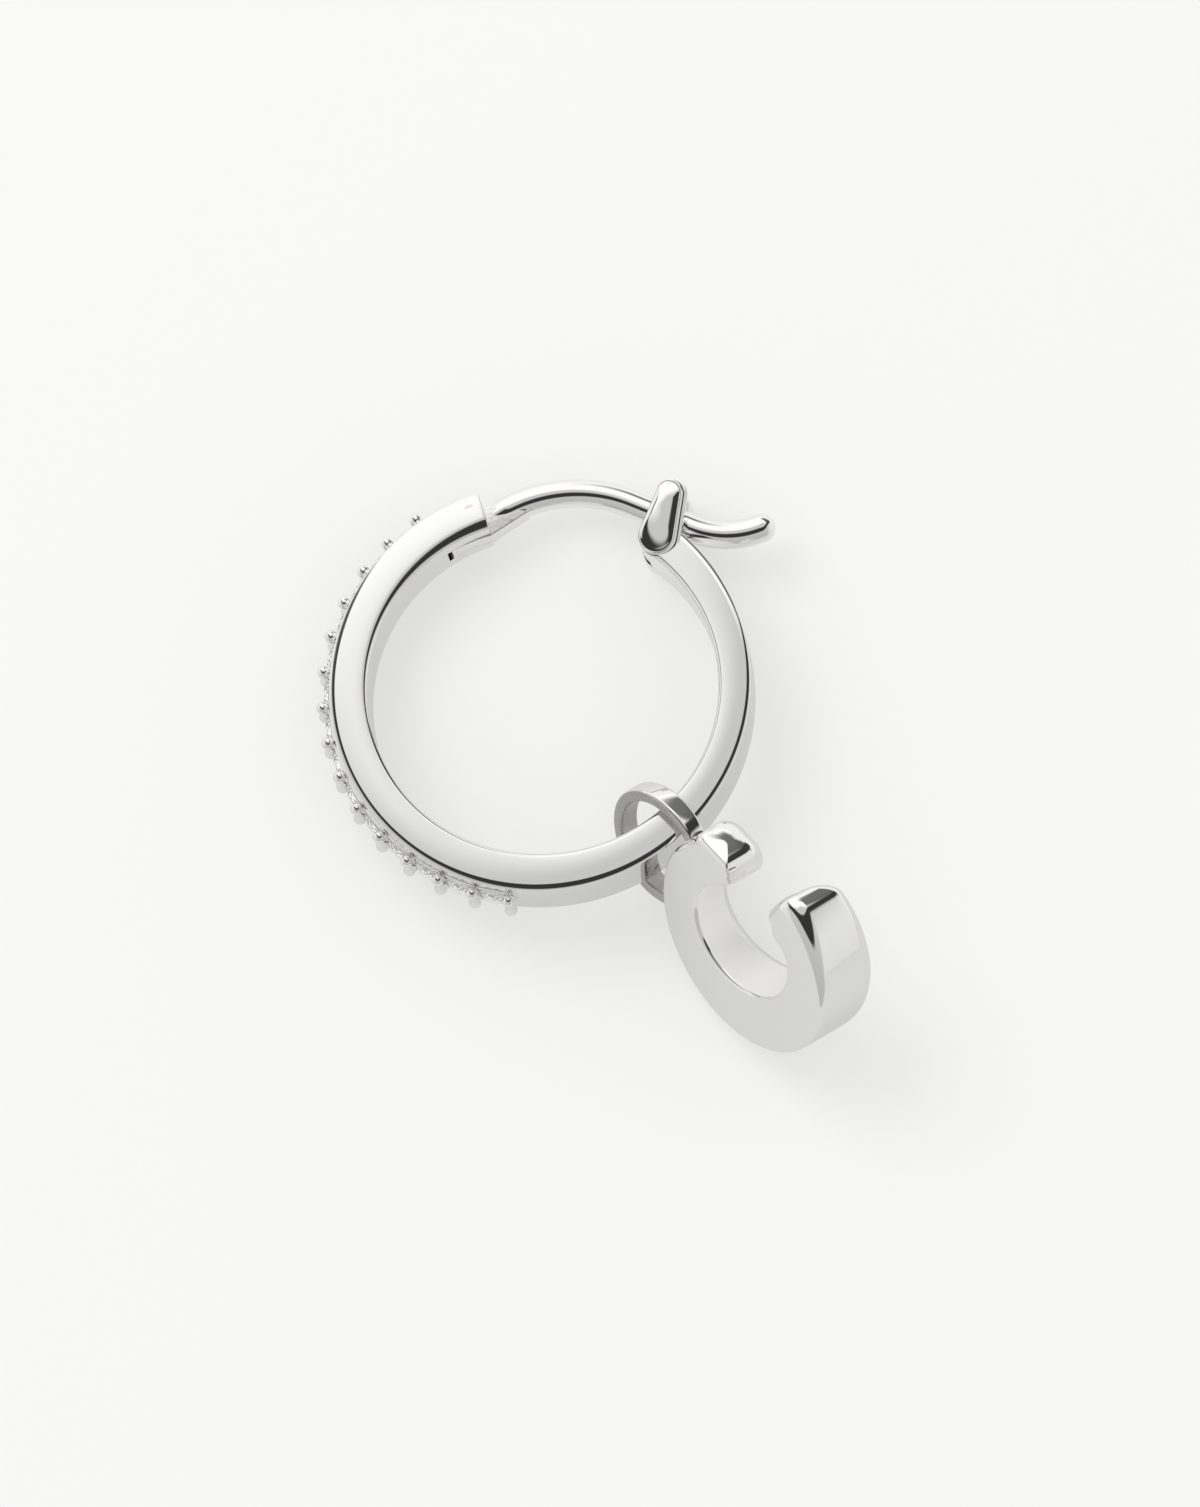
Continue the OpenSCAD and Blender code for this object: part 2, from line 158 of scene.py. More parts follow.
def principled(name, values):
    """New material with only a Principled shader, its sockets set by name, and that shader."""
    material = bpy.data.materials.new(name)
    material.use_nodes = True
    shader = material.node_tree.nodes["Principled BSDF"]
    for socket, value in values.items():
        shader.inputs[socket].default_value = value
    return material, shader


def silver(name, colour, marks, depth, metallic=1.0, glow=0.0):
    """Silver with its own mop marks, as values for the group's inputs, and their depth in metres."""
    material, shader = principled(name, {
        "Base Color": colour, "Metallic": metallic,
        "Emission Color": (1, 1, 0.99, 1), "Emission Strength": glow})
    tree = material.node_tree
    worn = node(tree, "ShaderNodeGroup", dict(zip(MARK_INPUTS, marks)), node_tree=MOP_MARKS).outputs
    bump = node(tree, "ShaderNodeBump", {"Distance": depth, "Height": worn["Height"]})
    tree.links.new(worn["Roughness"], shader.inputs["Roughness"])
    tree.links.new(bump.outputs["Normal"], shader.inputs["Normal"])
    return material


def clear_stone():
    """Clear stone, hardly rougher in one place than in another."""
    # painted light: the stone is given a faint even glow
    material, shader = principled("clear_stone", {
        "Base Color": WHITE, "Transmission Weight": 1, "IOR": STONE_INDEX,
        "Emission Color": WHITE, "Emission Strength": STONE_GLOW})
    tree = material.node_tree
    place = tree.nodes.new("ShaderNodeTexCoord").outputs["Object"]
    polish = calc(tree, "MULTIPLY", noise(tree, place, 4000.0), 0.03)
    tree.links.new(polish, shader.inputs["Roughness"])
    return material


POLISHED = {"colour": BARE_SILVER, "marks": (260, 0.04, 0.09), "depth": 0.000004}
MOULD_SKIN = {"marks": (3200, 0.16, 0.34), "depth": 0.00003}
SILVER = silver("polished_silver", **POLISHED)
# painted light: the setting's small silver glows faintly and evenly
BRIGHT = silver("polished_silver_small", **POLISHED, glow=SETTING_GLOW)
SATIN = silver("satin_silver", (0.95, 0.945, 0.93, 1), (900, 0.44, 0.56), 0.00001, metallic=0.45)
RAW = silver("raw_silver", (0.52, 0.5148, 0.5044, 1), **MOULD_SKIN)
RAW_LIGHT = silver("raw_silver_light", (0.95, 0.9405, 0.9215, 1), **MOULD_SKIN)
STONE = clear_stone()
print("finishes", [m.name for m in (SILVER, BRIGHT, SATIN, RAW, RAW_LIGHT, STONE)])

# %% [markdown]
# ## From rings to a piece
#
# Most parts of a jewel are a section carried along a line. A loft joins a run of section rings, each
# with the same number of points, into one closed skin. It is the most direct way to keep polished
# surfaces even, because the rings lie exactly on the wanted shape and nothing has to be smoothed.

# %% Helpers that make and place pieces
def around(count):
    """Directions of a full turn in equal steps, in radians."""
    return [2 * math.pi * k / count for k in range(count)]


def skin_rows(skin, rows):
    """Join each closed row of vertices to the next with a band of faces."""
    count = len(rows[0])
    for low, high in zip(rows, rows[1:]):
        for i in range(count):
            j = (i + 1) % count
            skin.faces.new((low[i], low[j], high[j], high[i]))


def loft(rings):
    """Closed skin over a run of closed rings with equal numbers of points."""
    skin = bmesh.new()
    rows = [[skin.verts.new(p) for p in ring] for ring in rings]
    skin_rows(skin, rows)
    skin.faces.new(list(reversed(rows[0])))
    skin.faces.new(rows[-1])
    return skin


SHARP = 32.0


def finish_mesh(mesh):
    """Clean a mesh, point its faces outwards and shade it smooth between its sharp edges."""
    skin = bmesh.new()
    skin.from_mesh(mesh)
    bmesh.ops.remove_doubles(skin, verts=skin.verts, dist=0.0004)
    bmesh.ops.dissolve_degenerate(skin, edges=skin.edges, dist=0.0002)
    bmesh.ops.recalc_face_normals(skin, faces=skin.faces)
    skin.to_mesh(mesh)
    mesh.polygons.foreach_set("use_smooth", [True] * len(mesh.polygons))
    mesh.set_sharp_from_angle(angle=math.radians(SHARP))
    return mesh


def new_object(name, data):
    """Object in the scene that holds a mesh, light or camera."""
    made = bpy.data.objects.new(name, data)
    bpy.context.collection.objects.link(made)
    return made


def place_piece(name, mesh, material, body, stands_for, into=LYING):
    """Lay a mesh made in millimetres down as a finished piece that rides on a body."""
    finish_mesh(mesh)
    mesh.transform(into)
    mesh.materials.clear()
    mesh.materials.append(material)
    piece = new_object(name, mesh)
    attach(piece, body)
    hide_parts(stands_for)
    mesh.calc_loop_triangles()
    print(name, len(mesh.loop_triangles), "triangles")
    return piece


def mesh_of(skin, name):
    """Plain mesh from a bmesh."""
    mesh = bpy.data.meshes.new(name)
    skin.to_mesh(mesh)
    skin.free()
    return mesh


# %% [markdown]
# ## Band section
#
# The band is a flat bar on edge. Its outer wall crowns slightly, and its outer edges were worn in
# stages: a soft start on the face and then a crisp turn. The inner edges were rolled over by hand,
# more and more towards the hinge, where the roll is a soft slope nearly half a millimetre wide. The
# section is written once, as points that give a share of the bar's thickness and a height, with the
# amount of roll as its one variable.

# %% Section of the band
CROWN_R = 7.44
INNER_R = 6.06
THIN_BY = 0.25
THIN_AT = 345.0
THIN_OVER = 95.0
BAND_W = 2.5
CROWN = 0.02
THICK = CROWN_R - INNER_R
PILLOW = 0.02
FACE_TILT = 0.03
CROWN_EDGE = 0.1
# how an edge is worn: (degrees turned by the end of a stage, radius in mm)
OUTER_STAGES = [(11, 0.15), (25, 0.7), (90, 0.07)]
STAGE_STEPS = 7


def arc_points(centre, radii, start, end, count):
    """Points of an elliptical arc about a centre, from one direction to another."""
    points = []
    for i in range(count + 1):
        turn = math.radians(start + (end - start) * i / count)
        points.append((centre[0] + radii[0] * math.cos(turn), centre[1] + radii[1] * math.sin(turn)))
    return points


def inner_stages(roll):
    """Stages of the inner edge, nearly crisp without roll and a broad slope with it."""
    return [(13, 0.1 + 0.3 * roll), (30, 0.15 + 0.95 * roll), (52, 0.3 - 0.22 * roll), (90, 0.07)]


def worn_corner(corner, stages, first, second):
    """Corner worn in stages from the face round to the side.

    The corner is where face and side would meet. first and second are unit vectors along the face
    towards the corner and along the side away from it.
    """
    turned = [0.0] + [math.radians(degrees) for degrees, radius in stages]
    spans = list(zip(turned, turned[1:], [radius for degrees, radius in stages]))
    reach = sum(r * (math.sin(b) - math.sin(a)) for a, b, r in spans)
    points = [corner - first * reach]
    for a, b, r in spans:
        begin = points[-1]
        for i in range(1, STAGE_STEPS + 1):
            t = a + (b - a) * i / STAGE_STEPS
            points.append(begin + first * r * (math.sin(t) - math.sin(a))
                          + second * r * (math.cos(a) - math.cos(t)))
    return points


def front_half(roll):
    """Half section from the crown over the front face to the middle of the inner wall, in mm."""
    half = BAND_W / 2
    crown_arc = (half ** 2 + CROWN ** 2) / (2 * CROWN)
    edge = THICK - (half - CROWN_EDGE) ** 2 / (2 * crown_arc)
    out = Vector((1, 0))
    down = Vector((0, -1))
    outer = worn_corner(Vector((edge, half)), OUTER_STAGES, out, down)
    inner = worn_corner(Vector((0, half)), inner_stages(roll), -out, down)
    heights = [outer[-1].y * k / 8 for k in range(8)]
    points = [Vector((THICK - z ** 2 / (2 * crown_arc), z)) for z in heights]
    points += list(reversed(outer))
    flat = inner[0].x - outer[0].x
    points += [Vector((outer[0].x + flat * k / 9, half)) for k in range(1, 9)]
    points += inner
    points += [Vector((0, inner[-1].y * (1 - k / 6))) for k in range(1, 6)]
    return points


def pillowed(points):
    """Faces that belly and lean out slightly, as polished flats do."""
    half = BAND_W / 2
    bellied = []
    for x, z in points:
        share = min(1.0, max(0.0, x / THICK))
        sag = PILLOW * (2 * share - 1) ** 2 + FACE_TILT * THICK * (share - 0.5)
        bellied.append((x, z - sag * (1 if z > 0 else -1) * (abs(z) / half) ** 4))
    return bellied


def band_section(roll):
    """Whole closed section of the band as (share of the thickness, height) points."""
    front = pillowed(front_half(roll))
    back = [(x, -z) for x, z in reversed(front[1:])]
    return [(x / THICK, z) for x, z in front + [(0.0, 0.0)] + back]


print("band section has", len(band_section(0)), "points")


# %% [markdown]
# ## Geometry Nodes: carry the section round the hoop
#
# The bar is a quarter of a millimetre thinner on its plain side, where it was filed to fit.
# That is a rule, and Geometry Nodes can hold it: a grid is one unit long and one round, each of its
# points looks its own section point up, and a formula bends the grid into the band. The two ends of
# the roll are two lists of section points, mixed along the way.

# %% Helpers for geometry trees
def geometry_tree(name, sockets):
    """Geometry Nodes tree with a geometry input, inputs named by kind, and a geometry output."""
    tree = bpy.data.node_groups.new(name, "GeometryNodeTree")
    tree.interface.new_socket("Geometry", in_out="INPUT", socket_type="NodeSocketGeometry")
    for kind, labels in sockets.items():
        for label in labels:
            tree.interface.new_socket(label, in_out="INPUT", socket_type="NodeSocket" + kind)
    tree.interface.new_socket("Geometry", in_out="OUTPUT", socket_type="NodeSocketGeometry")
    return tree, tree.nodes.new("NodeGroupInput"), tree.nodes.new("NodeGroupOutput")


def bent_round(tree, radius, angle, height):
    """Point at a radius, angle and height about the hoop's axis, as a socket."""
    return node(tree, "ShaderNodeCombineXYZ", {
        "X": calc(tree, "MULTIPLY", radius, calc(tree, "COSINE", angle)),
        "Y": calc(tree, "MULTIPLY", radius, calc(tree, "SINE", angle)), "Z": height}).outputs[0]


def put_out(tree, geometry, material, out):
    """End a tree with its geometry in one material."""
    coated = node(tree, "GeometryNodeSetMaterial", {"Geometry": geometry, "Material": material})
    tree.links.new(coated.outputs[0], out.inputs[0])


def run_tree(tree, values):
    """Evaluate a tree on a carrier object and give back the plain mesh that it makes."""
    carrier = new_object("carrier", bpy.data.meshes.new("carrier"))
    modifier = carrier.modifiers.new("tree", "NODES")
    modifier.node_group = tree
    for item in tree.interface.items_tree:
        if item.item_type == "SOCKET" and item.in_out == "INPUT" and item.name in values:
            modifier[item.identifier] = values[item.name]
    evaluated = carrier.evaluated_get(bpy.context.evaluated_depsgraph_get())
    mesh = bpy.data.meshes.new_from_object(evaluated)
    bpy.data.objects.remove(carrier)
    return mesh


def point_list(name, points):
    """Object that only holds points, for a tree to look up by their index."""
    mesh = bpy.data.meshes.new(name)
    mesh.from_pydata([Vector((p[0], p[1], 0)) for p in points], [], [])
    return new_object(name, mesh)


# %% Tree: bend a bar into the band
def bent_bar_tree():
    """Grid whose points look up a section and are bent round the hoop's axis."""
    tree, given, out = geometry_tree("bent_bar", {
        "Object": ["Plain section", "Rolled section"], "Int": ["Section points", "Steps"],
        "Float": ["Outer radius", "Inner radius", "Thin by", "Thin at", "Thin over",
                  "From", "To", "Roll ends"],
        "Material": ["Silver"]})
    g = given.outputs
    grid = node(tree, "GeometryNodeMeshGrid", {
        "Size X": 1.0, "Size Y": 1.0, "Vertices X": g["Steps"],
        "Vertices Y": calc(tree, "ADD", g["Section points"], 1.0)})
    where = node(tree, "GeometryNodeInputPosition").outputs[0]
    place = node(tree, "ShaderNodeSeparateXYZ", {"Vector": where}).outputs
    along = calc(tree, "ADD", place["X"], 0.5)
    index = calc(tree, "MULTIPLY", calc(tree, "ADD", place["Y"], 0.5), g["Section points"])
    index = calc(tree, "MODULO", calc(tree, "ROUND", index), g["Section points"])
    angle = calc(tree, "MULTIPLY_ADD", along, calc(tree, "SUBTRACT", g["To"], g["From"]), g["From"])
    looked_up = []
    for label in ("Plain section", "Rolled section"):
        held = node(tree, "GeometryNodeObjectInfo", {"Object": g[label]})
        sample = node(tree, "GeometryNodeSampleIndex", {
            "Geometry": held.outputs["Geometry"], "Value": where, "Index": index},
            data_type="FLOAT_VECTOR", domain="POINT")
        looked_up.append(sample.outputs[0])
    plain, rolled = looked_up
    roll = node(tree, "ShaderNodeMapRange", {
        "Value": angle, "From Min": g["From"], "From Max": g["Roll ends"],
        "To Min": 1.0, "To Max": 0.0}).outputs[0]
    lift = node(tree, "ShaderNodeVectorMath", {0: rolled, 1: plain}, operation="SUBTRACT").outputs[0]
    lift = node(tree, "ShaderNodeVectorMath", {0: lift, "Scale": roll}, operation="SCALE").outputs[0]
    section = node(tree, "ShaderNodeVectorMath", {0: plain, 1: lift}, operation="ADD").outputs[0]
    section = node(tree, "ShaderNodeSeparateXYZ", {"Vector": section}).outputs
    off_thin = calc(tree, "DIVIDE", calc(tree, "SUBTRACT", angle, g["Thin at"]), g["Thin over"])
    off_thin = calc(tree, "MAXIMUM", calc(tree, "MINIMUM", off_thin, 1.0), -1.0)
    wave = calc(tree, "COSINE", calc(tree, "MULTIPLY", off_thin, math.pi))
    thinner = calc(tree, "MULTIPLY_ADD", wave, 0.5, 0.5)
    inner = calc(tree, "MULTIPLY_ADD", g["Thin by"], thinner, g["Inner radius"])
    thick = calc(tree, "SUBTRACT", g["Outer radius"], inner)
    radius = calc(tree, "MULTIPLY_ADD", section["X"], thick, inner)
    bent = bent_round(tree, radius, angle, section["Y"])
    moved = node(tree, "GeometryNodeSetPosition", {"Geometry": grid.outputs[0], "Position": bent})
    welded = node(tree, "GeometryNodeMergeByDistance", {"Geometry": moved.outputs[0], "Distance": 0.0005})
    real = node(tree, "GeometryNodeRealizeInstances", {"Geometry": welded.outputs[0]})
    put_out(tree, real.outputs[0], g["Silver"], out)
    return tree


BENT_BAR = bent_bar_tree()
print("tree", BENT_BAR.name, "has", len(BENT_BAR.nodes), "nodes")

# %% Band from the hinge to the catch, with softened ends
BAND_TO = 360 + 51.5
ROLL_ENDS = 190.0


def open_loops(skin):
    """Open edge loops of a skin, each as vertices in order."""
    loops = []
    left = {e for e in skin.edges if e.is_boundary}
    while left:
        edge = left.pop()
        first, at = edge.verts
        loop = [first, at]
        while True:
            following = [e for e in at.link_edges if e in left]
            if not following:
                break
            left.discard(following[0])
            at = following[0].other_vert(at)
            if at is first:
                break
            loop.append(at)
        loops.append(loop)
    return loops


def dome_end(skin, loop, outward, radius, steps=5):
    """Close an open loop with an edge rounded to a radius and a flat middle."""
    outward = outward.normalized()
    count = len(loop)
    ring = [v.co.copy() for v in loop]
    inward = []
    middle = sum(ring, Vector()) / count
    for i in range(count):
        along = (ring[(i + 1) % count] - ring[i - 1]).normalized()
        side = along.cross(outward)
        if side.dot(middle - ring[i]) < 0:
            side.negate()
        inward.append(side.normalized())
    rows = [loop]
    for k in range(1, steps + 1):
        turn = math.radians(90) * k / steps
        drawn = radius * (1 - math.cos(turn))
        out = radius * math.sin(turn)
        rows.append([skin.verts.new(p + n * drawn + outward * out) for p, n in zip(ring, inward)])
    skin_rows(skin, rows)
    skin.faces.new(rows[-1])


sections = [point_list("plain_section", band_section(0)), point_list("rolled_section", band_section(1))]
END_ROUND = 0.04
end_step = math.degrees(END_ROUND / PIN_R)
band_mesh = run_tree(BENT_BAR, {
    "Plain section": sections[0], "Rolled section": sections[1], "Section points": len(band_section(0)),
    "Steps": 420, "Outer radius": CROWN_R, "Inner radius": INNER_R, "Thin by": THIN_BY,
    "Thin at": math.radians(THIN_AT), "Thin over": math.radians(THIN_OVER),
    "From": math.radians(HINGE_END + end_step), "To": math.radians(BAND_TO),
    "Roll ends": math.radians(ROLL_ENDS), "Silver": SILVER})
for holder in sections:
    bpy.data.objects.remove(holder)
band_skin = bmesh.new()
band_skin.from_mesh(band_mesh)
for loop in open_loops(band_skin):
    where = sum((v.co for v in loop), Vector()) / len(loop)
    turn = math.degrees(math.atan2(where.y, where.x))
    forward = Vector((-math.sin(math.radians(turn)), math.cos(math.radians(turn)), 0))
    at_hinge = abs(turn - HINGE_END) < 5
    dome_end(band_skin, loop, -forward if at_hinge else forward, END_ROUND)
band_mesh = mesh_of(band_skin, "band")

# %% [markdown]
# ## Cuts in the band
#
# The hinge needs a slot for the wire's tail, and the catch needs a throat for the wire. Both were
# milled into the finished bar on the real one, so here they are cut too, with Boolean modifiers that
# are applied at once. The slot has a rounded end, as a milling cutter leaves. The throat is cut along
# the wire's line, and the catch's leaves have their places here too, because they follow that line.

# %% Cut the hinge slot and the throat
SLOT_W = 0.92
SLOT_FLOOR_R = 6.92
SLOT_TO = 122.73
SLOT_FROM = 104
SLOT_FLOOR_BENDS = (104, 107, 109, 111, 113, 115, 117, 119, 121)
SLOT_INSIDE_R = 5.2
# opening through the band's end for the hinge's ears: (radius, degrees)
THROUGH = [(6.3, 104), (6.3, 109.8), (6.9, 111.6), (7.2, 112.2), (8, 111.8), (8, 104)]


def prism(outline, low, high, name="cutter"):
    """Straight-sided solid over a flat outline."""
    skin = loft([[Vector((x, y, low)) for x, y in outline], [Vector((x, y, high)) for x, y in outline]])
    return mesh_of(skin, name)


def cut_away(mesh, *cutters):
    """Mesh with others cut out of it."""
    for m in (mesh, *cutters):
        skin = bmesh.new()
        skin.from_mesh(m)
        bmesh.ops.recalc_face_normals(skin, faces=skin.faces)
        skin.to_mesh(m)
        skin.free()
    base = new_object("base", mesh)
    tools = []
    for m in cutters:
        tool = new_object("tool", m)
        modifier = base.modifiers.new("cut", "BOOLEAN")
        modifier.operation = "DIFFERENCE"
        modifier.solver = "EXACT"
        modifier.object = tool
        tools.append(tool)
    evaluated = base.evaluated_get(bpy.context.evaluated_depsgraph_get())
    cut = bpy.data.meshes.new_from_object(evaluated)
    for o in (base, *tools):
        bpy.data.objects.remove(o)
    return cut


LEG_FOOT = Vector((4.118, 5.367, 0))
LEG_TOP = Vector((4.56, 6.93, 0))
LEG_FOOT_R = 0.62
LEG_TOP_R = 0.42
FORK_W = 2.62
THROAT_W = 1.12
WIRE_R = 0.5
WIRE_FALL = -23.0
WIRE_CROSS = Vector((4.391, 6.319, 0))
CATCH_GAP = 0.06


def leaf_ring(inset, z, count=22):
    """Outline of the leaf at a height, drawn in from its rim."""
    line = LEG_TOP - LEG_FOOT
    length = line.length
    lean = math.degrees(math.atan2(line.y, line.x))
    foot = LEG_FOOT_R - inset
    top = LEG_TOP_R - inset
    spread = math.degrees(math.asin((foot - top) / length))
    points = []
    for i in range(count + 1):
        turn = lean + (90 - spread) + (180 + 2 * spread) * i / count
        points.append(LEG_FOOT + polar(foot, turn, z))
    for i in range(count + 1):
        turn = lean - (90 - spread) + (180 - 2 * spread) * i / count
        points.append(LEG_TOP + polar(max(0.004, top), turn, z))
    return points


def throat_cutter():
    """Half plane above the wire's line, as wide as the throat."""
    turn = Matrix.Rotation(math.radians(WIRE_FALL), 4, "Z")
    corners = [(-9, -WIRE_R - CATCH_GAP), (9, -WIRE_R - CATCH_GAP), (9, 9), (-9, 9)]
    flat = [(WIRE_CROSS + turn @ Vector((x, y, 0))).to_2d() for x, y in corners]
    return prism(flat, -THROAT_W / 2, THROAT_W / 2)


def flat_point(radius, degrees):
    """Point in the hoop's plane at a distance and direction from its axis."""
    return polar(radius, degrees).to_2d()


slot_outline = [flat_point(SLOT_FLOOR_R, a) for a in (*SLOT_FLOOR_BENDS, SLOT_TO - 0.6)]
slot_outline += [flat_point(SLOT_FLOOR_R - 0.1, SLOT_TO), flat_point(SLOT_INSIDE_R, SLOT_TO + 0.6),
                 flat_point(SLOT_INSIDE_R, SLOT_FROM)]
through_outline = [flat_point(*corner) for corner in THROUGH]
half_slot = SLOT_W / 2
band_mesh = cut_away(band_mesh, prism(slot_outline, -half_slot, half_slot),
                     prism(through_outline, -half_slot + 0.001, half_slot - 0.001), throat_cutter())
place_piece("band", band_mesh, SILVER, "earring", "hoop")

# %% [markdown]
# ## Catch
#
# The catch is a fork of two leaf-shaped legs, soldered to the front and back of the band's end. Each
# leg is cushioned: its face is highest in the middle and falls away to a soft rim. A leaf outline is
# two circles joined by their tangents. Rings of that outline, drawn in step by step, make the cushion.

# %% Leaf legs and the seat of the throat
LEAF_PROUD = 0.16
LEAF_HIGH = Vector((4.2, 6.4, 0))
FLANK_WAY = Vector((0.96, -0.28, 0))
FLANK_WIDE = 0.24
FLANK_TOP = BAND_W / 2 - 0.015
RIM_IN = 0.07
RIM_DROP = 0.05
DOME_DROP = 0.15


def leg(sign):
    """Cushioned leaf from the throat's side out to its face, which is highest off the middle."""

    def flank(spread, z):
        """Ring of the side, spread out beyond the rim on the side of the band."""
        return [p + FLANK_WAY * spread / 2 for p in leaf_ring(-spread / 2, z)]

    rings = [leaf_ring(0.02, THROAT_W / 2 - 0.02), flank(0.15, THROAT_W / 2)]
    rings += [flank(FLANK_WIDE, 0.9), flank(FLANK_WIDE, FLANK_TOP)]
    for degrees in (12, 22, 32, 42, 50):
        turn = math.radians(degrees)
        rings.append(flank(FLANK_WIDE - 0.25 * math.sin(turn), FLANK_TOP + 0.2 * (1 - math.cos(turn))))
    steps = []
    for k in range(6):
        turn = math.radians(60) * k / 5
        steps.append((1 - RIM_IN * (1 - math.cos(turn)) / 0.5,
                      DOME_DROP + RIM_DROP - RIM_DROP * math.sin(turn) / 0.866))
    for k in range(1, 20):
        share = 1 - k / 19.4
        steps.append(((1 - RIM_IN) * share, DOME_DROP * share ** 2.6))
    top = FORK_W / 2 + LEAF_PROUD
    for share, drop in steps:
        rings.append([LEAF_HIGH + (p - LEAF_HIGH) * share + Vector((0, 0, top - drop))
                      for p in leaf_ring(0, 0)])
    if sign < 0:
        rings = [[Vector((p.x, p.y, -p.z)) for p in reversed(ring)] for ring in rings]
    return loft(rings)


core_half = THROAT_W / 2 + 0.05
core = mesh_of(loft([leaf_ring(0.02, -core_half), leaf_ring(0.02, core_half)]), "core")
core = cut_away(core, throat_cutter())
catch_skin = leg(1)
catch_skin.from_mesh(mesh_of(leg(-1), "back_leg"))
catch_skin.from_mesh(core)
place_piece("catch", mesh_of(catch_skin, "catch"), SILVER, "earring", "hoop")

# %% [markdown]
# ## Ear wire
#
# The wire is one length of round wire, bent by hand: an arch, a short straight run through the catch,
# and a thumb curl with a rounded tip. A tube follows its middle line, which is flat, so the tube never
# twists and the reflections run down it in clean lines. At its root the wire is a little thinner, to
# pass the band as it opens, and there it grows out of a flat tongue that turns in the hinge slot.

# %% Tube along a line
def tube(line, radii, sides=40):
    """Rings of a round tube along a flat line of points, each with its own radius."""
    rings = []
    for i, (point, radius) in enumerate(zip(line, radii)):
        ahead = line[min(i + 1, len(line) - 1)] - line[max(i - 1, 0)]
        ahead.normalize()
        side = Vector((-ahead.y, ahead.x, 0)).normalized()
        rise = ahead.cross(side).normalized()
        rings.append([point + radius * (math.cos(t) * side + math.sin(t) * rise) for t in around(sides)])
    return rings


def arc_line(centre, radius, start, end, step=1.2):
    """Points along an arc, in the direction from its start to its end."""
    count = max(2, int(abs(end - start) / step))
    return [centre + polar(radius, start + (end - start) * i / count) for i in range(count + 1)]


# %% Ear wire from the hinge to its tip
ARCH_C = Vector((1.0911, 2.2534, 0))
ARCH_R = 5.07
WIRE_RISE = 67.0
WIRE_FROM = 123.0
THUMB_C = Vector((6.551, 8.900, 0))
THUMB_R = 3.22
THUMB_TO = 291.5
ROOT_THINNER = 0.07
ROOT_STEPS = 5

arch = arc_line(ARCH_C, ARCH_R, WIRE_FROM, WIRE_RISE)
thumb = arc_line(THUMB_C, THUMB_R, WIRE_RISE + 180, THUMB_TO)
straight = [arch[-1].lerp(thumb[0], k / 6) for k in range(1, 6)]
route = arch + straight + thumb
radii = [WIRE_R - ROOT_THINNER * max(0.0, 1 - k / ROOT_STEPS) for k in range(len(route))]
tip = route[-1]
forward = (route[-1] - route[-2]).normalized()
for k in range(1, 12):
    turn = math.radians(90) * k / 11
    route.append(tip + forward * WIRE_R * math.sin(turn))
    radii.append(max(0.004, WIRE_R * math.cos(turn)))
wire_mesh = mesh_of(loft(tube(route, radii)), "ear_wire")
print("wire length", round(sum((b - a).length for a, b in zip(route, route[1:])), 1), "mm")

# %% Flat tongue in the hinge slot
TONGUE_T = 0.86
TONGUE_R = 5.98
TONGUE_EDGE = 0.07
TAIL_TO = 121.53
TAIL_INNER_R = 6.04
TAIL_BACK_R = SLOT_FLOOR_R - 0.03
BELLY_BENDS = (119, 117.5, 116, 114.5, 113, 111.5, 110, 108.5, 107.4)
PIN_XY = polar(PIN_R, PIN_ANGLE)
HUB_R = 0.49


def tongue_outline():
    """Side view of the tongue, as flat points."""
    points = [polar(TAIL_BACK_R, a) for a in (118.5, 119.3, 120.1, 120.9)]
    points += [polar(r, TAIL_TO - back) for r, back in
               ((6.84, 0.25), (6.74, 0), (6.12, 0), (6.06, 0.35), (TAIL_INNER_R, 1.0))]
    begin, end = BELLY_BENDS[0], BELLY_BENDS[-1]
    points += [polar(TAIL_INNER_R + (TONGUE_R - TAIL_INNER_R) * (begin - a) / (begin - end), a)
               for a in BELLY_BENDS]
    points += [ARCH_C + polar(ARCH_R - WIRE_R, WIRE_FROM - 13), ARCH_C + polar(ARCH_R - 0.1, WIRE_FROM - 8)]
    points += [polar(PIN_R + 0.1, HINGE_END - 3.5)]
    points += [PIN_XY + polar(HUB_R, PIN_ANGLE + t) for t in (-50, -30, -10, 10, 30, 50)]
    points += [polar(TAIL_BACK_R, a) for a in (114.3, 115.5, 116.5, 117.5)]
    return points


def soft_slab(outline, thick, edge, steps=4):
    """Flat piece with rounded rims, from an outline that runs anticlockwise or clockwise."""
    count = len(outline)
    area = sum(outline[i - 1].x * outline[i].y - outline[i].x * outline[i - 1].y for i in range(count))
    if area < 0:
        outline = list(reversed(outline))
    inward = []
    for i in range(count):
        along = (outline[(i + 1) % count] - outline[i - 1]).normalized()
        inward.append(Vector((-along.y, along.x, 0)))
    rings = []
    for face in (-1, 1):
        for k in range(steps + 1):
            turn = math.radians(90) * (k if face < 0 else steps - k) / steps
            rise = Vector((0, 0, face * (thick / 2 - edge * (1 - math.cos(turn)))))
            rings.append([p + n * edge * (1 - math.sin(turn)) + rise for p, n in zip(outline, inward)])
    return loft(rings)


tongue_mesh = mesh_of(soft_slab(tongue_outline(), TONGUE_T, TONGUE_EDGE), "ear_wire_tongue")
place_piece("ear_wire_round", wire_mesh, SILVER, "ear_wire", "ear_wire")
place_piece("ear_wire_tongue", tongue_mesh, RAW_LIGHT, "ear_wire", "ear_wire")

# %% [markdown]
# ## Stone setting
#
# The stones sit in a shared strip, each in a seat of its own. Between each two stones a prong lies
# across the row: a saddle with a ball at each end, which holds both its neighbours. One collar and
# one prong are modelled. Geometry Nodes repeats them along a straight line, makes each prong a little
# larger or smaller than the next, and then rolls the line up onto the hoop.

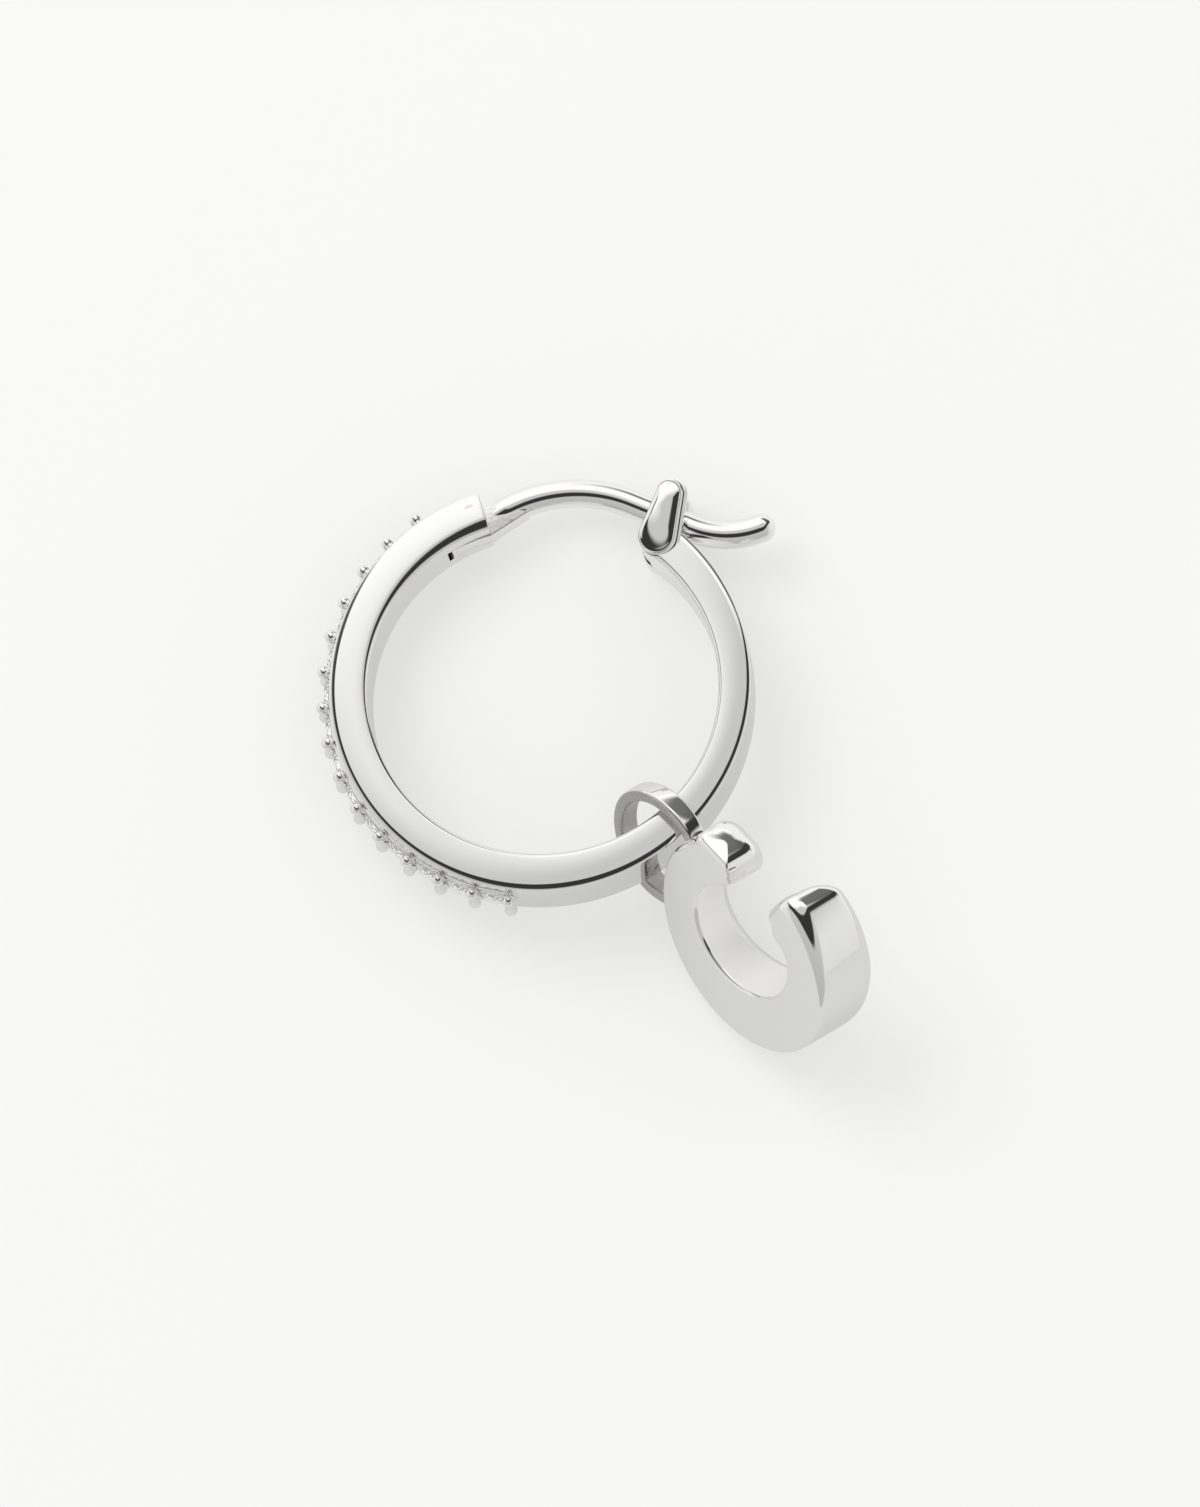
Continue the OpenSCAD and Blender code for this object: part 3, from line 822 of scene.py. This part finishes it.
# %% One collar and one prong
STONE_COUNT = 14
STONE_D = 1.06
ROW_FROM = 125.0
ROW_PITCH = 9.75
STRIP_R = 7.54
STRIP_HALF = 0.7
STRIP_DEEP = 0.4
BEAD_D = 0.46
BEAD_R = 7.7
BEAD_APART = 1.2
CELL = STRIP_R * math.radians(ROW_PITCH)
# seat under a stone: (share of the hole's radius, added radius, height)
SEAT = [(1, 0.045, -0.06), (1, 0.01, -0.08), (1, 0, -0.13), (1, 0, -0.22), (0.62, 0, -0.44), (0.3, 0, -0.64)]
# half a prong's saddle: (distance across the row, radius, height of its middle)
SADDLE = [(0.0, 0.13, -0.22), (0.16, 0.135, -0.22), (0.3, 0.15, -0.225), (0.4, 0.18, -0.23)]
BALL_TURNS = (60, 75, 90, 110, 130, 145, 158, 170, 176)


def collar():
    """Cell of the strip with a round seat: x along the row, y across it, z outwards."""
    hole = STONE_D / 2 + 0.03
    spots = around(48)
    rings = []
    for half, z in ((STRIP_HALF, -STRIP_DEEP), (STRIP_HALF, -0.1), (0.68, -0.075), (0.65, -0.065)):
        rings.append([Vector((max(-1, min(1, math.cos(t) * 1.5)) * (CELL / 2 + 0.004),
                              max(-1, min(1, math.sin(t) * 1.6)) * half, z)) for t in spots])
    for share, more, z in SEAT:
        radius = hole * share + more
        rings.append([Vector((radius * math.cos(t), radius * math.sin(t), z)) for t in spots])
    return mesh_of(loft(rings), "collar")


def prong():
    """Saddle across the row with a ball at each end, its top at z = 0."""
    ball = BEAD_D / 2
    half = SADDLE + [(BEAD_APART / 2 - ball * math.cos(a), ball * math.sin(a), -ball)
                     for a in map(math.radians, BALL_TURNS)]
    line = [(-y, r, z) for y, r, z in reversed(half[1:])] + half
    rings = [[Vector((r * math.cos(t), y, z - r * math.sin(t))) for t in around(20)] for y, r, z in line]
    return mesh_of(loft(rings), "prong")


# %% Tree: a row rolled onto the hoop
def rolled_row_tree():
    """Collars and prongs in a straight row, bent round the hoop's axis."""
    tree, given, out = geometry_tree("rolled_row", {
        "Object": ["Collar", "Prong"], "Int": ["Stones", "Seed"],
        "Float": ["Pitch", "First", "Strip radius", "Prong radius", "Prong variety"],
        "Material": ["Silver"]})
    g = given.outputs
    step = calc(tree, "MULTIPLY", g["Pitch"], g["Strip radius"])

    def row(count, start, thing, height, varied):
        """Instances of one object along the middle of the row."""
        begin = node(tree, "ShaderNodeCombineXYZ", {"X": start, "Z": height})
        along = node(tree, "ShaderNodeCombineXYZ", {"X": step})
        line = node(tree, "GeometryNodeMeshLine", {
            "Count": count, "Start Location": begin.outputs[0], "Offset": along.outputs[0]})
        points = node(tree, "GeometryNodeMeshToPoints", {"Mesh": line.outputs[0]})
        held = node(tree, "GeometryNodeObjectInfo", {"Object": g[thing], "As Instance": True})
        placed = {"Points": points.outputs[0], "Instance": held.outputs["Geometry"]}
        if varied:
            vary = node(tree, "FunctionNodeRandomValue", {"Seed": g["Seed"]}, data_type="FLOAT")
            tree.links.new(calc(tree, "SUBTRACT", 1.0, g["Prong variety"]), vary.inputs[2])
            tree.links.new(calc(tree, "ADD", 1.0, g["Prong variety"]), vary.inputs[3])
            placed["Scale"] = vary.outputs[1]
        return node(tree, "GeometryNodeInstanceOnPoints", placed).outputs[0]

    lift = calc(tree, "SUBTRACT", g["Prong radius"], g["Strip radius"])
    parts = [row(g["Stones"], calc(tree, "MULTIPLY", step, 0.5), "Collar", 0.0, False),
             row(calc(tree, "ADD", g["Stones"], 1.0), 0.0, "Prong", lift, True)]
    join = tree.nodes.new("GeometryNodeJoinGeometry")
    for part in parts:
        tree.links.new(part, join.inputs[0])
    real = node(tree, "GeometryNodeRealizeInstances", {"Geometry": join.outputs[0]})
    where = node(tree, "GeometryNodeInputPosition").outputs[0]
    place = node(tree, "ShaderNodeSeparateXYZ", {"Vector": where}).outputs
    angle = calc(tree, "ADD", calc(tree, "DIVIDE", place["X"], g["Strip radius"]), g["First"])
    bent = bent_round(tree, calc(tree, "ADD", place["Z"], g["Strip radius"]), angle, place["Y"])
    moved = node(tree, "GeometryNodeSetPosition", {"Geometry": real.outputs[0], "Position": bent})
    put_out(tree, moved.outputs[0], g["Silver"], out)
    return tree


samples = [new_object(thing.name, thing) for thing in (collar(), prong())]
row_mesh = run_tree(rolled_row_tree(), {
    "Collar": samples[0], "Prong": samples[1], "Stones": STONE_COUNT, "Pitch": math.radians(ROW_PITCH),
    "First": math.radians(ROW_FROM), "Strip radius": STRIP_R, "Prong radius": BEAD_R + BEAD_D / 2,
    "Prong variety": 0.05, "Seed": 4, "Silver": BRIGHT})
for sample in samples:
    bpy.data.objects.remove(sample)
place_piece("stone_setting", row_mesh, BRIGHT, "earring", "hoop")

# %% [markdown]
# ## Charm
#
# The charm is a thick open curl, cast and then polished. Its walls change width and its two ends are
# rounded over. A list of lines across the curl gives where each wall is, and the loft runs through
# sections on those lines. The front edge is crisp, and the back edge is rounder where it was mopped.
# The walls inside the curl get the half-matt silver, chosen by the way that each face looks.

# %% Curl of the charm
CURL_C = 4.94
CURL_R = 4.17
CURL_INNER_R = 2.3
CURL_T = 2.25
CURL_TAPER = 1.15
CURL_ROUND = 0.17
CURL_BACK_ROUND = 0.62
BAIL_BACK = 0.72
# lines across the curl, from its top to its foot: (degrees on the inner wall, share of the inner
# radius, degrees on the outer wall)
CURL_LINES = [(61.5, 1.17, 36), (60, 1.05, 30.5), (53, 1.035, 25.5), (43.5, 0.995, 20), (33, 1.013, 15.5),
              (22, 1.043, 10), (5, 1.06, 2), (-15, 1.035, -12), (-40, 0.975, -35), (-65, 0.895, -62),
              (-90, 0.845, -90), (-115, 0.835, -116), (-140, 0.86, -142), (-165, 0.913, -166),
              (-188, 0.97, -191), (-204, 1.013, -209), (-215, 1.026, -220), (-225, 0.978, -230),
              (-233, 0.93, -236), (-239, 0.945, -241), (-246.5, 1.05, -246.5)]
# how each end is mopped round: (depth, length) for the outer wall, inner wall, front face and back face
TOP_ROUND = {"out": 0.45, "stop": 0.07, "outer": (0.45, 0.6), "inner": (0.62, 0.8),
             "front": (0.25, 0.3), "back": (0.8, 0.8)}
FOOT_ROUND = {"out": 0.42, "stop": 0.0, "outer": (0.5, 0.8), "inner": (0.3, 0.4),
              "front": (0.24, 0.35), "back": (1.35, 0.85)}
TOP_BULGE = 0.15
FOOT_BULGE = 0.08
LINE_STEPS = 7
END_STEPS = 9


def smooth_between(a, b, c, d, t):
    """Curve through b and c that also heeds their neighbours a and d."""
    bend = (a - 2.5 * b + 2 * c - d / 2) * t * t
    return b + (c - a) * t / 2 + bend + (1.5 * b - a / 2 - 1.5 * c + d / 2) * t ** 3


def line_at(k, t):
    """Line across the curl, a share t of the way from one listed line to the next."""
    last = len(CURL_LINES) - 1
    rows = [CURL_LINES[min(last, max(0, k + i))] for i in (-1, 0, 1, 2)]
    return [smooth_between(*(row[n] for row in rows), t) for n in range(3)]


def curl_point(radius, degrees):
    """Point of the curl's own plane, at a distance and direction from its middle."""
    turn = math.radians(degrees)
    return Vector((CURL_C - radius * math.cos(turn), radius * math.sin(turn)))


def rounded_corners(corners, count):
    """Closed section from four round corners, each (centre across, centre along, radius)."""
    ring = []
    for start, (cx, cy, r) in zip((0, 90, 180, 270), corners):
        ring += arc_points((cx, cy), (r, r), start, start + 90, count)
    return ring


def mopped(rule, to_tip):
    """Depth worn off at a distance from the tip, by a quarter ellipse."""
    depth, length = rule
    share = min(1.0, max(0.0, 1 - to_tip / length))
    return depth * (1 - math.sqrt(max(0.0, 1 - share * share)))


def ease(value, low, high):
    """Soft step from 0 to 1."""
    share = min(1.0, max(0.0, (value - low) / (high - low)))
    return share * share * (3 - 2 * share)


def curl_ring(line, ends, out=0.0):
    """Ring on a line of the curl, moved on by out and worn by each end's rule at its distance."""
    p = curl_point(line[1] * CURL_INNER_R, line[0])
    q = curl_point(CURL_R, line[2])
    across = (q - p).normalized()
    onward = Vector((-across.y, across.x))
    worn = {side: sum(mopped(rule[side], d) for rule, d in ends)
            for side in ("outer", "inner", "front", "back")}
    width = (q - p).length - worn["outer"] - worn["inner"]
    middle = (p.x + q.x) / 2
    thick = CURL_T + CURL_TAPER * (middle - CURL_C) / (2 * CURL_R) - worn["front"] - worn["back"]
    near_foot = ease(ends[1][1], 4.2, 0.3)
    near_top = ease(ends[0][1], 2.2, 0.4)
    front_in = max(0.07, CURL_ROUND - worn["inner"] / 3)
    front_out = CURL_ROUND + 0.5 * near_foot + 0.2 * near_top
    front_out = min(front_out, width * 0.45, thick * 0.45)
    back = min(max(0.12, CURL_BACK_ROUND - 0.5 * worn["outer"]), width * 0.45, thick * 0.45)
    section = rounded_corners([(width - back, thick - back, back), (back, thick - back, back),
                               (front_in, front_in, front_in), (width - front_out, front_out, front_out)], 14)
    ring = []
    for x, y in section:
        m = p + across * (worn["inner"] + x) + onward * out
        ring.append(Vector((m.x, worn["front"] + y, m.y)))
    return ring, Vector((onward.x, 0, onward.y))


def middle_of(line):
    """Middle of a line across the curl."""
    return (curl_point(line[1] * CURL_INNER_R, line[0]) + curl_point(CURL_R, line[2])) / 2


def capped(ring, onward, sign, bulge):
    """Rings that close an end with a gentle bulge."""
    centre = sum(ring, Vector()) / len(ring)
    rings = []
    for k in range(1, 9):
        share = k / 8.5
        rings.append([centre + (v - centre) * (1 - share) + onward * sign * bulge * (1 - (1 - share) ** 2)
                      for v in ring])
    return rings


# how the charm hangs: round the hoop, out to the band, and then turned as it came to lie
HANG = (Matrix.Rotation(math.radians(-52.2), 4, "Z") @ Matrix.Translation((7.07, 0, 0.05))
        @ Matrix.Rotation(math.radians(4.2), 4, "Z") @ Matrix.Rotation(math.radians(-8.9), 4, "Y")
        @ Matrix.Rotation(math.radians(-26.7), 4, "X") @ Matrix.Translation((0, -BAIL_BACK, 0)))
LAID = LYING @ HANG
FRONT = (LAID.to_3x3() @ Vector((0, 1, 0))).normalized()
stops = [line_at(k, j / LINE_STEPS) for k in range(len(CURL_LINES) - 1) for j in range(LINE_STEPS)]
stops.append(list(CURL_LINES[-1]))
walked = [0.0]
for a, b in zip(stops, stops[1:]):
    walked.append(walked[-1] + (middle_of(b) - middle_of(a)).length)


def ends_at(distance):
    """Rules of the two ends, each with how far off its tip is."""
    return [(TOP_ROUND, distance + TOP_ROUND["out"] + TOP_ROUND["stop"]),
            (FOOT_ROUND, walked[-1] - distance + FOOT_ROUND["out"] + FOOT_ROUND["stop"])]


def other_finish(piece, material, centre, picks):
    """Second finish on the faces that picks takes, told how they face out from an axis, and frontwards."""
    piece.data.materials.append(material)
    for face in piece.data.polygons:
        from_axis = face.center - LAID @ centre
        from_axis -= FRONT * from_axis.dot(FRONT)
        if picks(face.normal.dot(from_axis) / from_axis.length, abs(face.normal.dot(FRONT))):
            face.material_index = 1


curl_rings = []
for k in range(END_STEPS, 0, -1):
    out = TOP_ROUND["out"] * math.sin(math.radians(90) * k / END_STEPS)
    ring, onward = curl_ring(stops[0], ends_at(-out), -out)
    if k == END_STEPS:
        curl_rings = list(reversed(capped(ring, onward, -1, TOP_BULGE)))
    curl_rings.append(ring)
curl_rings += [curl_ring(stop, ends_at(distance))[0] for stop, distance in zip(stops, walked)]
for k in range(1, END_STEPS + 1):
    out = FOOT_ROUND["out"] * math.sin(math.radians(90) * k / END_STEPS)
    ring, onward = curl_ring(stops[-1], ends_at(walked[-1] + out), out)
    curl_rings.append(ring)
curl_rings += capped(curl_rings[-1], onward, 1, FOOT_BULGE)
curl_mesh = mesh_of(loft(curl_rings), "charm_curl")
curl = place_piece("charm_curl", curl_mesh, SILVER, "earring", "charm", into=LAID)
other_finish(curl, SATIN, Vector((CURL_C, 0, 0)), lambda out, front: out < -0.55 and front < 0.3)

# %% [markdown]
# ## Bail
#
# The bail is a bent strip with softened edges, a little narrower where it is soldered to the curl. Its
# sides kept the mould's skin and only its outer face was polished.

# %% Bail of the charm
BAIL_R = 2.32
BAIL_T = 0.44
BAIL_W = 0.8
BAIL_ROOT_W = 0.6
BAIL_EDGE_IN = 0.09
BAIL_EDGE_OUT = 0.12
BAIL_STEPS = 120


def bail_ring(degrees, count=8):
    """Section of the bail's strip at a turn, 0 being its root on the curl."""
    turn = math.radians(degrees)
    out = Vector((math.cos(turn), 0, math.sin(turn)))
    root = max(0.0, math.cos(turn))
    half = (BAIL_W + (BAIL_ROOT_W - BAIL_W) * root) / 2
    inside = BAIL_R - BAIL_T + BAIL_EDGE_IN
    outside = BAIL_R - BAIL_EDGE_OUT
    section = rounded_corners([
        (outside, half - BAIL_EDGE_OUT, BAIL_EDGE_OUT), (inside, half - BAIL_EDGE_IN, BAIL_EDGE_IN),
        (inside, -half + BAIL_EDGE_IN, BAIL_EDGE_IN), (outside, -half + BAIL_EDGE_OUT, BAIL_EDGE_OUT)], count)
    return [out * x + Vector((0, BAIL_BACK + y, 0)) for x, y in section]


bail_skin = bmesh.new()
bail_rows = [[bail_skin.verts.new(p) for p in bail_ring(360 / BAIL_STEPS * a)] for a in range(BAIL_STEPS)]
skin_rows(bail_skin, bail_rows + bail_rows[:1])
bail = place_piece("charm_bail", mesh_of(bail_skin, "charm_bail"), RAW, "earring", "charm", into=LAID)
other_finish(bail, SILVER, Vector((0, BAIL_BACK, 0)), lambda out, front: out > 0.75)

# %% [markdown]
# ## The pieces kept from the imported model
#
# The cut stones and the hinge pin are already right: flat facets need no rounding. They only get
# their finishes.

# %% Stones and pin
kept = 0
for name, thing in frame["nodes"].items():
    if name.startswith("stone_") or name == "hinge_pin":
        finish = STONE if name.startswith("stone_") else SILVER
        if not thing.data.materials:
            thing.data.materials.append(finish)
        for slot in thing.material_slots:
            slot.material = finish
        kept += 1
print("kept from the packed model:", kept)

# %% [markdown]
# ## Table, room and camera
#
# Polished metal shows its surroundings more than itself, so the room matters as much as the silver.
# It is a white tent with a big soft light behind. One dark bar runs straight overhead, where the
# camera looks in, and a part of the dark room beyond the tent shows at the back on the right. Where a
# direction would be mirrored to the lens by a surface, the surface's facing is halfway between the
# two. The room is painted on that halfway direction, because that is how one thinks of it at the
# table: "surfaces facing this way go black". Matt things get the tent's even light instead, and light
# that comes through the stones counts for more, as so few of their facets can be followed.

# %% Directions of the picture
TO_LENS = Vector((0.02593247, -0.17089009, 0.98494877))
PICTURE_UP = Vector((0.00987367, 0.98527585, 0.17068688))
PICTURE_RIGHT = Vector((0.99961493, -0.00529872, -0.02723795))
TENT_LIGHT = 0.87
STONE_LIGHT_MORE = 0.8
BAR_DARK = 0.94
BEYOND_DARK = 0.9


def make_room():
    """World lit by a white tent with a dark bar overhead."""
    world = bpy.data.worlds.new("white_tent")
    bpy.context.scene.world = world
    world.use_nodes = True
    tree = world.node_tree
    sky = tree.nodes["Background"]
    towards = tree.nodes.new("ShaderNodeTexCoord").outputs["Generated"]
    half = node(tree, "ShaderNodeVectorMath", {0: towards, 1: TO_LENS}, operation="ADD").outputs[0]
    half = node(tree, "ShaderNodeVectorMath", {0: half}, operation="NORMALIZE").outputs[0]
    hx, hy = [node(tree, "ShaderNodeVectorMath", {0: half, 1: way}, operation="DOT_PRODUCT").outputs["Value"]
              for way in (PICTURE_RIGHT, PICTURE_UP)]
    across = calc(tree, "ABSOLUTE", hx)

    def ramp(value, low, high, at_low, at_high):
        """Soft step between two values."""
        return node(tree, "ShaderNodeMapRange", {
            "Value": value, "From Min": low, "From Max": high, "To Min": at_low, "To Max": at_high},
            interpolation_type="SMOOTHSTEP").outputs[0]

    def plus(a, b):
        """Sum of sockets or numbers."""
        return calc(tree, "ADD", a, b)

    def times(first, *others):
        """Product of sockets or numbers."""
        for other in others:
            first = calc(tree, "MULTIPLY", first, other)
        return first

    # tent wall: greyer towards the front of the table, lighter at the sides
    wall = plus(ramp(hy, -0.6, 0.1, 0.50, 0.60), ramp(across, 0.42, 0.56, 0.0, 0.21))
    # big soft light behind, its lower border rising to the right
    border = calc(tree, "MINIMUM", calc(tree, "MAXIMUM", plus(hx, 0.1), 0.0), 0.12)
    into = calc(tree, "SUBTRACT", hy, plus(times(border, 0.9), 0.245))
    lit = times(ramp(into, -0.06, 0.07, 0.0, 1.0), ramp(hx, -0.56, -0.42, 0.25, 1.0),
                ramp(hx, 0.22, 0.45, 1.0, 0.25))
    wall = plus(times(calc(tree, "SUBTRACT", 1.07, wall), lit), wall)
    # dark bar overhead, bent up at both ends like a smile
    middle = plus(times(hx, hx, 2.4), -0.08)
    thick = plus(ramp(across, 0.1, 0.36, 0.135, 0.15), ramp(hx, 0.4, 0.56, 0.0, 0.1))
    off = calc(tree, "DIVIDE", calc(tree, "ABSOLUTE", calc(tree, "SUBTRACT", hy, middle)), thick)
    bar = times(ramp(off, 0.75, 1.3, 1.0, 0.0), ramp(hx, -0.53, -0.41, 0.0, 1.0),
                ramp(hx, 0.54, 0.68, 1.0, 0.0))
    # dark room beyond the tent, low down behind the table on the right
    reach = calc(tree, "SQRT", plus(times(hx, hx), times(hy, hy)))
    reach_in = plus(reach, ramp(hx, 0.1, 0.3, 0.0, 0.07))
    beyond = times(ramp(reach_in, 0.56, 0.61, 0.0, 1.0), ramp(reach, 0.7, 0.75, 1.0, 0.0),
                   ramp(hy, 0.3, 0.42, 0.0, 1.0), ramp(hx, -0.12, 0.15, 0.0, 1.0))
    dark = calc(tree, "MAXIMUM", bar, times(beyond, BEYOND_DARK))
    seen = times(wall, plus(times(dark, -BAR_DARK), 1.0))
    # matt things get the even light of the whole tent, whatever the metal mirrors
    path = tree.nodes.new("ShaderNodeLightPath").outputs
    strength = plus(times(path["Is Diffuse Ray"], calc(tree, "SUBTRACT", TENT_LIGHT, seen)), seen)
    strength = plus(times(path["Is Transmission Ray"], seen, STONE_LIGHT_MORE), strength)
    sky.inputs["Color"].default_value = (1.0, 1.0, 0.995, 1)
    tree.links.new(strength, sky.inputs["Strength"])


make_room()

# %% Key light and table
KEY_FROM = Vector((-0.24, 0.22, 0.42))
TABLE_HALF = 0.4
PAPER_BLUE = 0.993
# painted shade: how light the front of the paper stays where the metal mirrors it
PAPER_FRONT_SHADE_MIRRORED = 0.77


def make_paper():
    """Pale paper, half lit and half glowing, with a painted shade that darkens its front where metal mirrors
    it.
    """
    material, shader = principled("pale_paper", {"Specular IOR Level": 0.05, "Emission Strength": 1.0})
    tree = material.node_tree
    spot = tree.nodes.new("ShaderNodeTexCoord").outputs["Object"]
    grain = noise(tree, spot, 5200.0, 3.0)
    tree.links.new(calc(tree, "MULTIPLY_ADD", grain, 0.2, 0.7), shader.inputs["Roughness"])
    # painted shade: the front of the paper is darker, but only in what the metal mirrors
    back = node(tree, "ShaderNodeMapRange", {
        "Value": node(tree, "ShaderNodeSeparateXYZ", {"Vector": spot}).outputs["Y"],
        "From Min": -0.002, "From Max": 0.016, "To Min": PAPER_FRONT_SHADE_MIRRORED, "To Max": 1.0},
        interpolation_type="SMOOTHSTEP").outputs[0]
    mirrored = tree.nodes.new("ShaderNodeLightPath").outputs["Is Glossy Ray"]
    seen = calc(tree, "MULTIPLY_ADD", mirrored, calc(tree, "SUBTRACT", back, 1.0), 1.0)
    for socket, share in (("Emission Color", 0.46), ("Base Color", 0.45)):
        grey = calc(tree, "MULTIPLY", seen, share)
        tint = node(tree, "ShaderNodeCombineColor", {
            "Red": grey, "Green": grey, "Blue": calc(tree, "MULTIPLY", grey, PAPER_BLUE)})
        tree.links.new(tint.outputs[0], shader.inputs[socket])
    return material


key = bpy.data.lights.new("key", "AREA")
key.shape = "DISK"
key.size = 0.34
key.energy = 0.75
key_lamp = new_object("key", key)
key_lamp.location = KEY_FROM
key_lamp.rotation_euler = (-KEY_FROM).to_track_quat("-Z", "Y").to_euler()
key_lamp.visible_glossy = False

table_mesh = bpy.data.meshes.new("table")
table_mesh.from_pydata([(x * TABLE_HALF, y * TABLE_HALF, 0) for x, y in ((-1, -1), (1, -1), (1, 1), (-1, 1))],
                       [], [(0, 1, 2, 3)])
table_mesh.materials.append(make_paper())
table = new_object("table", table_mesh)

# %% Camera
LENS_OFF = 1.2
SENSOR_W = 36
PICTURE_W = 0.042105
RIGHT_OF_HOOP = 2.135
BELOW_HOOP = 2.384

aside = (PICTURE_RIGHT * RIGHT_OF_HOOP - PICTURE_UP * BELOW_HOOP) * MM
picture_centre = LYING @ Vector((0, 0, BAND_W / 2)) + aside
lens = bpy.data.cameras.new("camera")
lens.sensor_fit = "HORIZONTAL"
lens.sensor_width = SENSOR_W
lens.lens = SENSOR_W * LENS_OFF / PICTURE_W
lens.clip_start = 0.01
lens.clip_end = 20
camera = new_object("camera", lens)
turn = Matrix((PICTURE_RIGHT, PICTURE_UP, TO_LENS)).transposed()
camera.matrix_world = Matrix.Translation(picture_centre + TO_LENS * LENS_OFF) @ turn.to_4x4()
bpy.context.scene.camera = camera
bpy.context.scene.view_settings.view_transform = "Standard"
print("camera", [round(v, 3) for v in camera.location], "lens", round(lens.lens, 1))
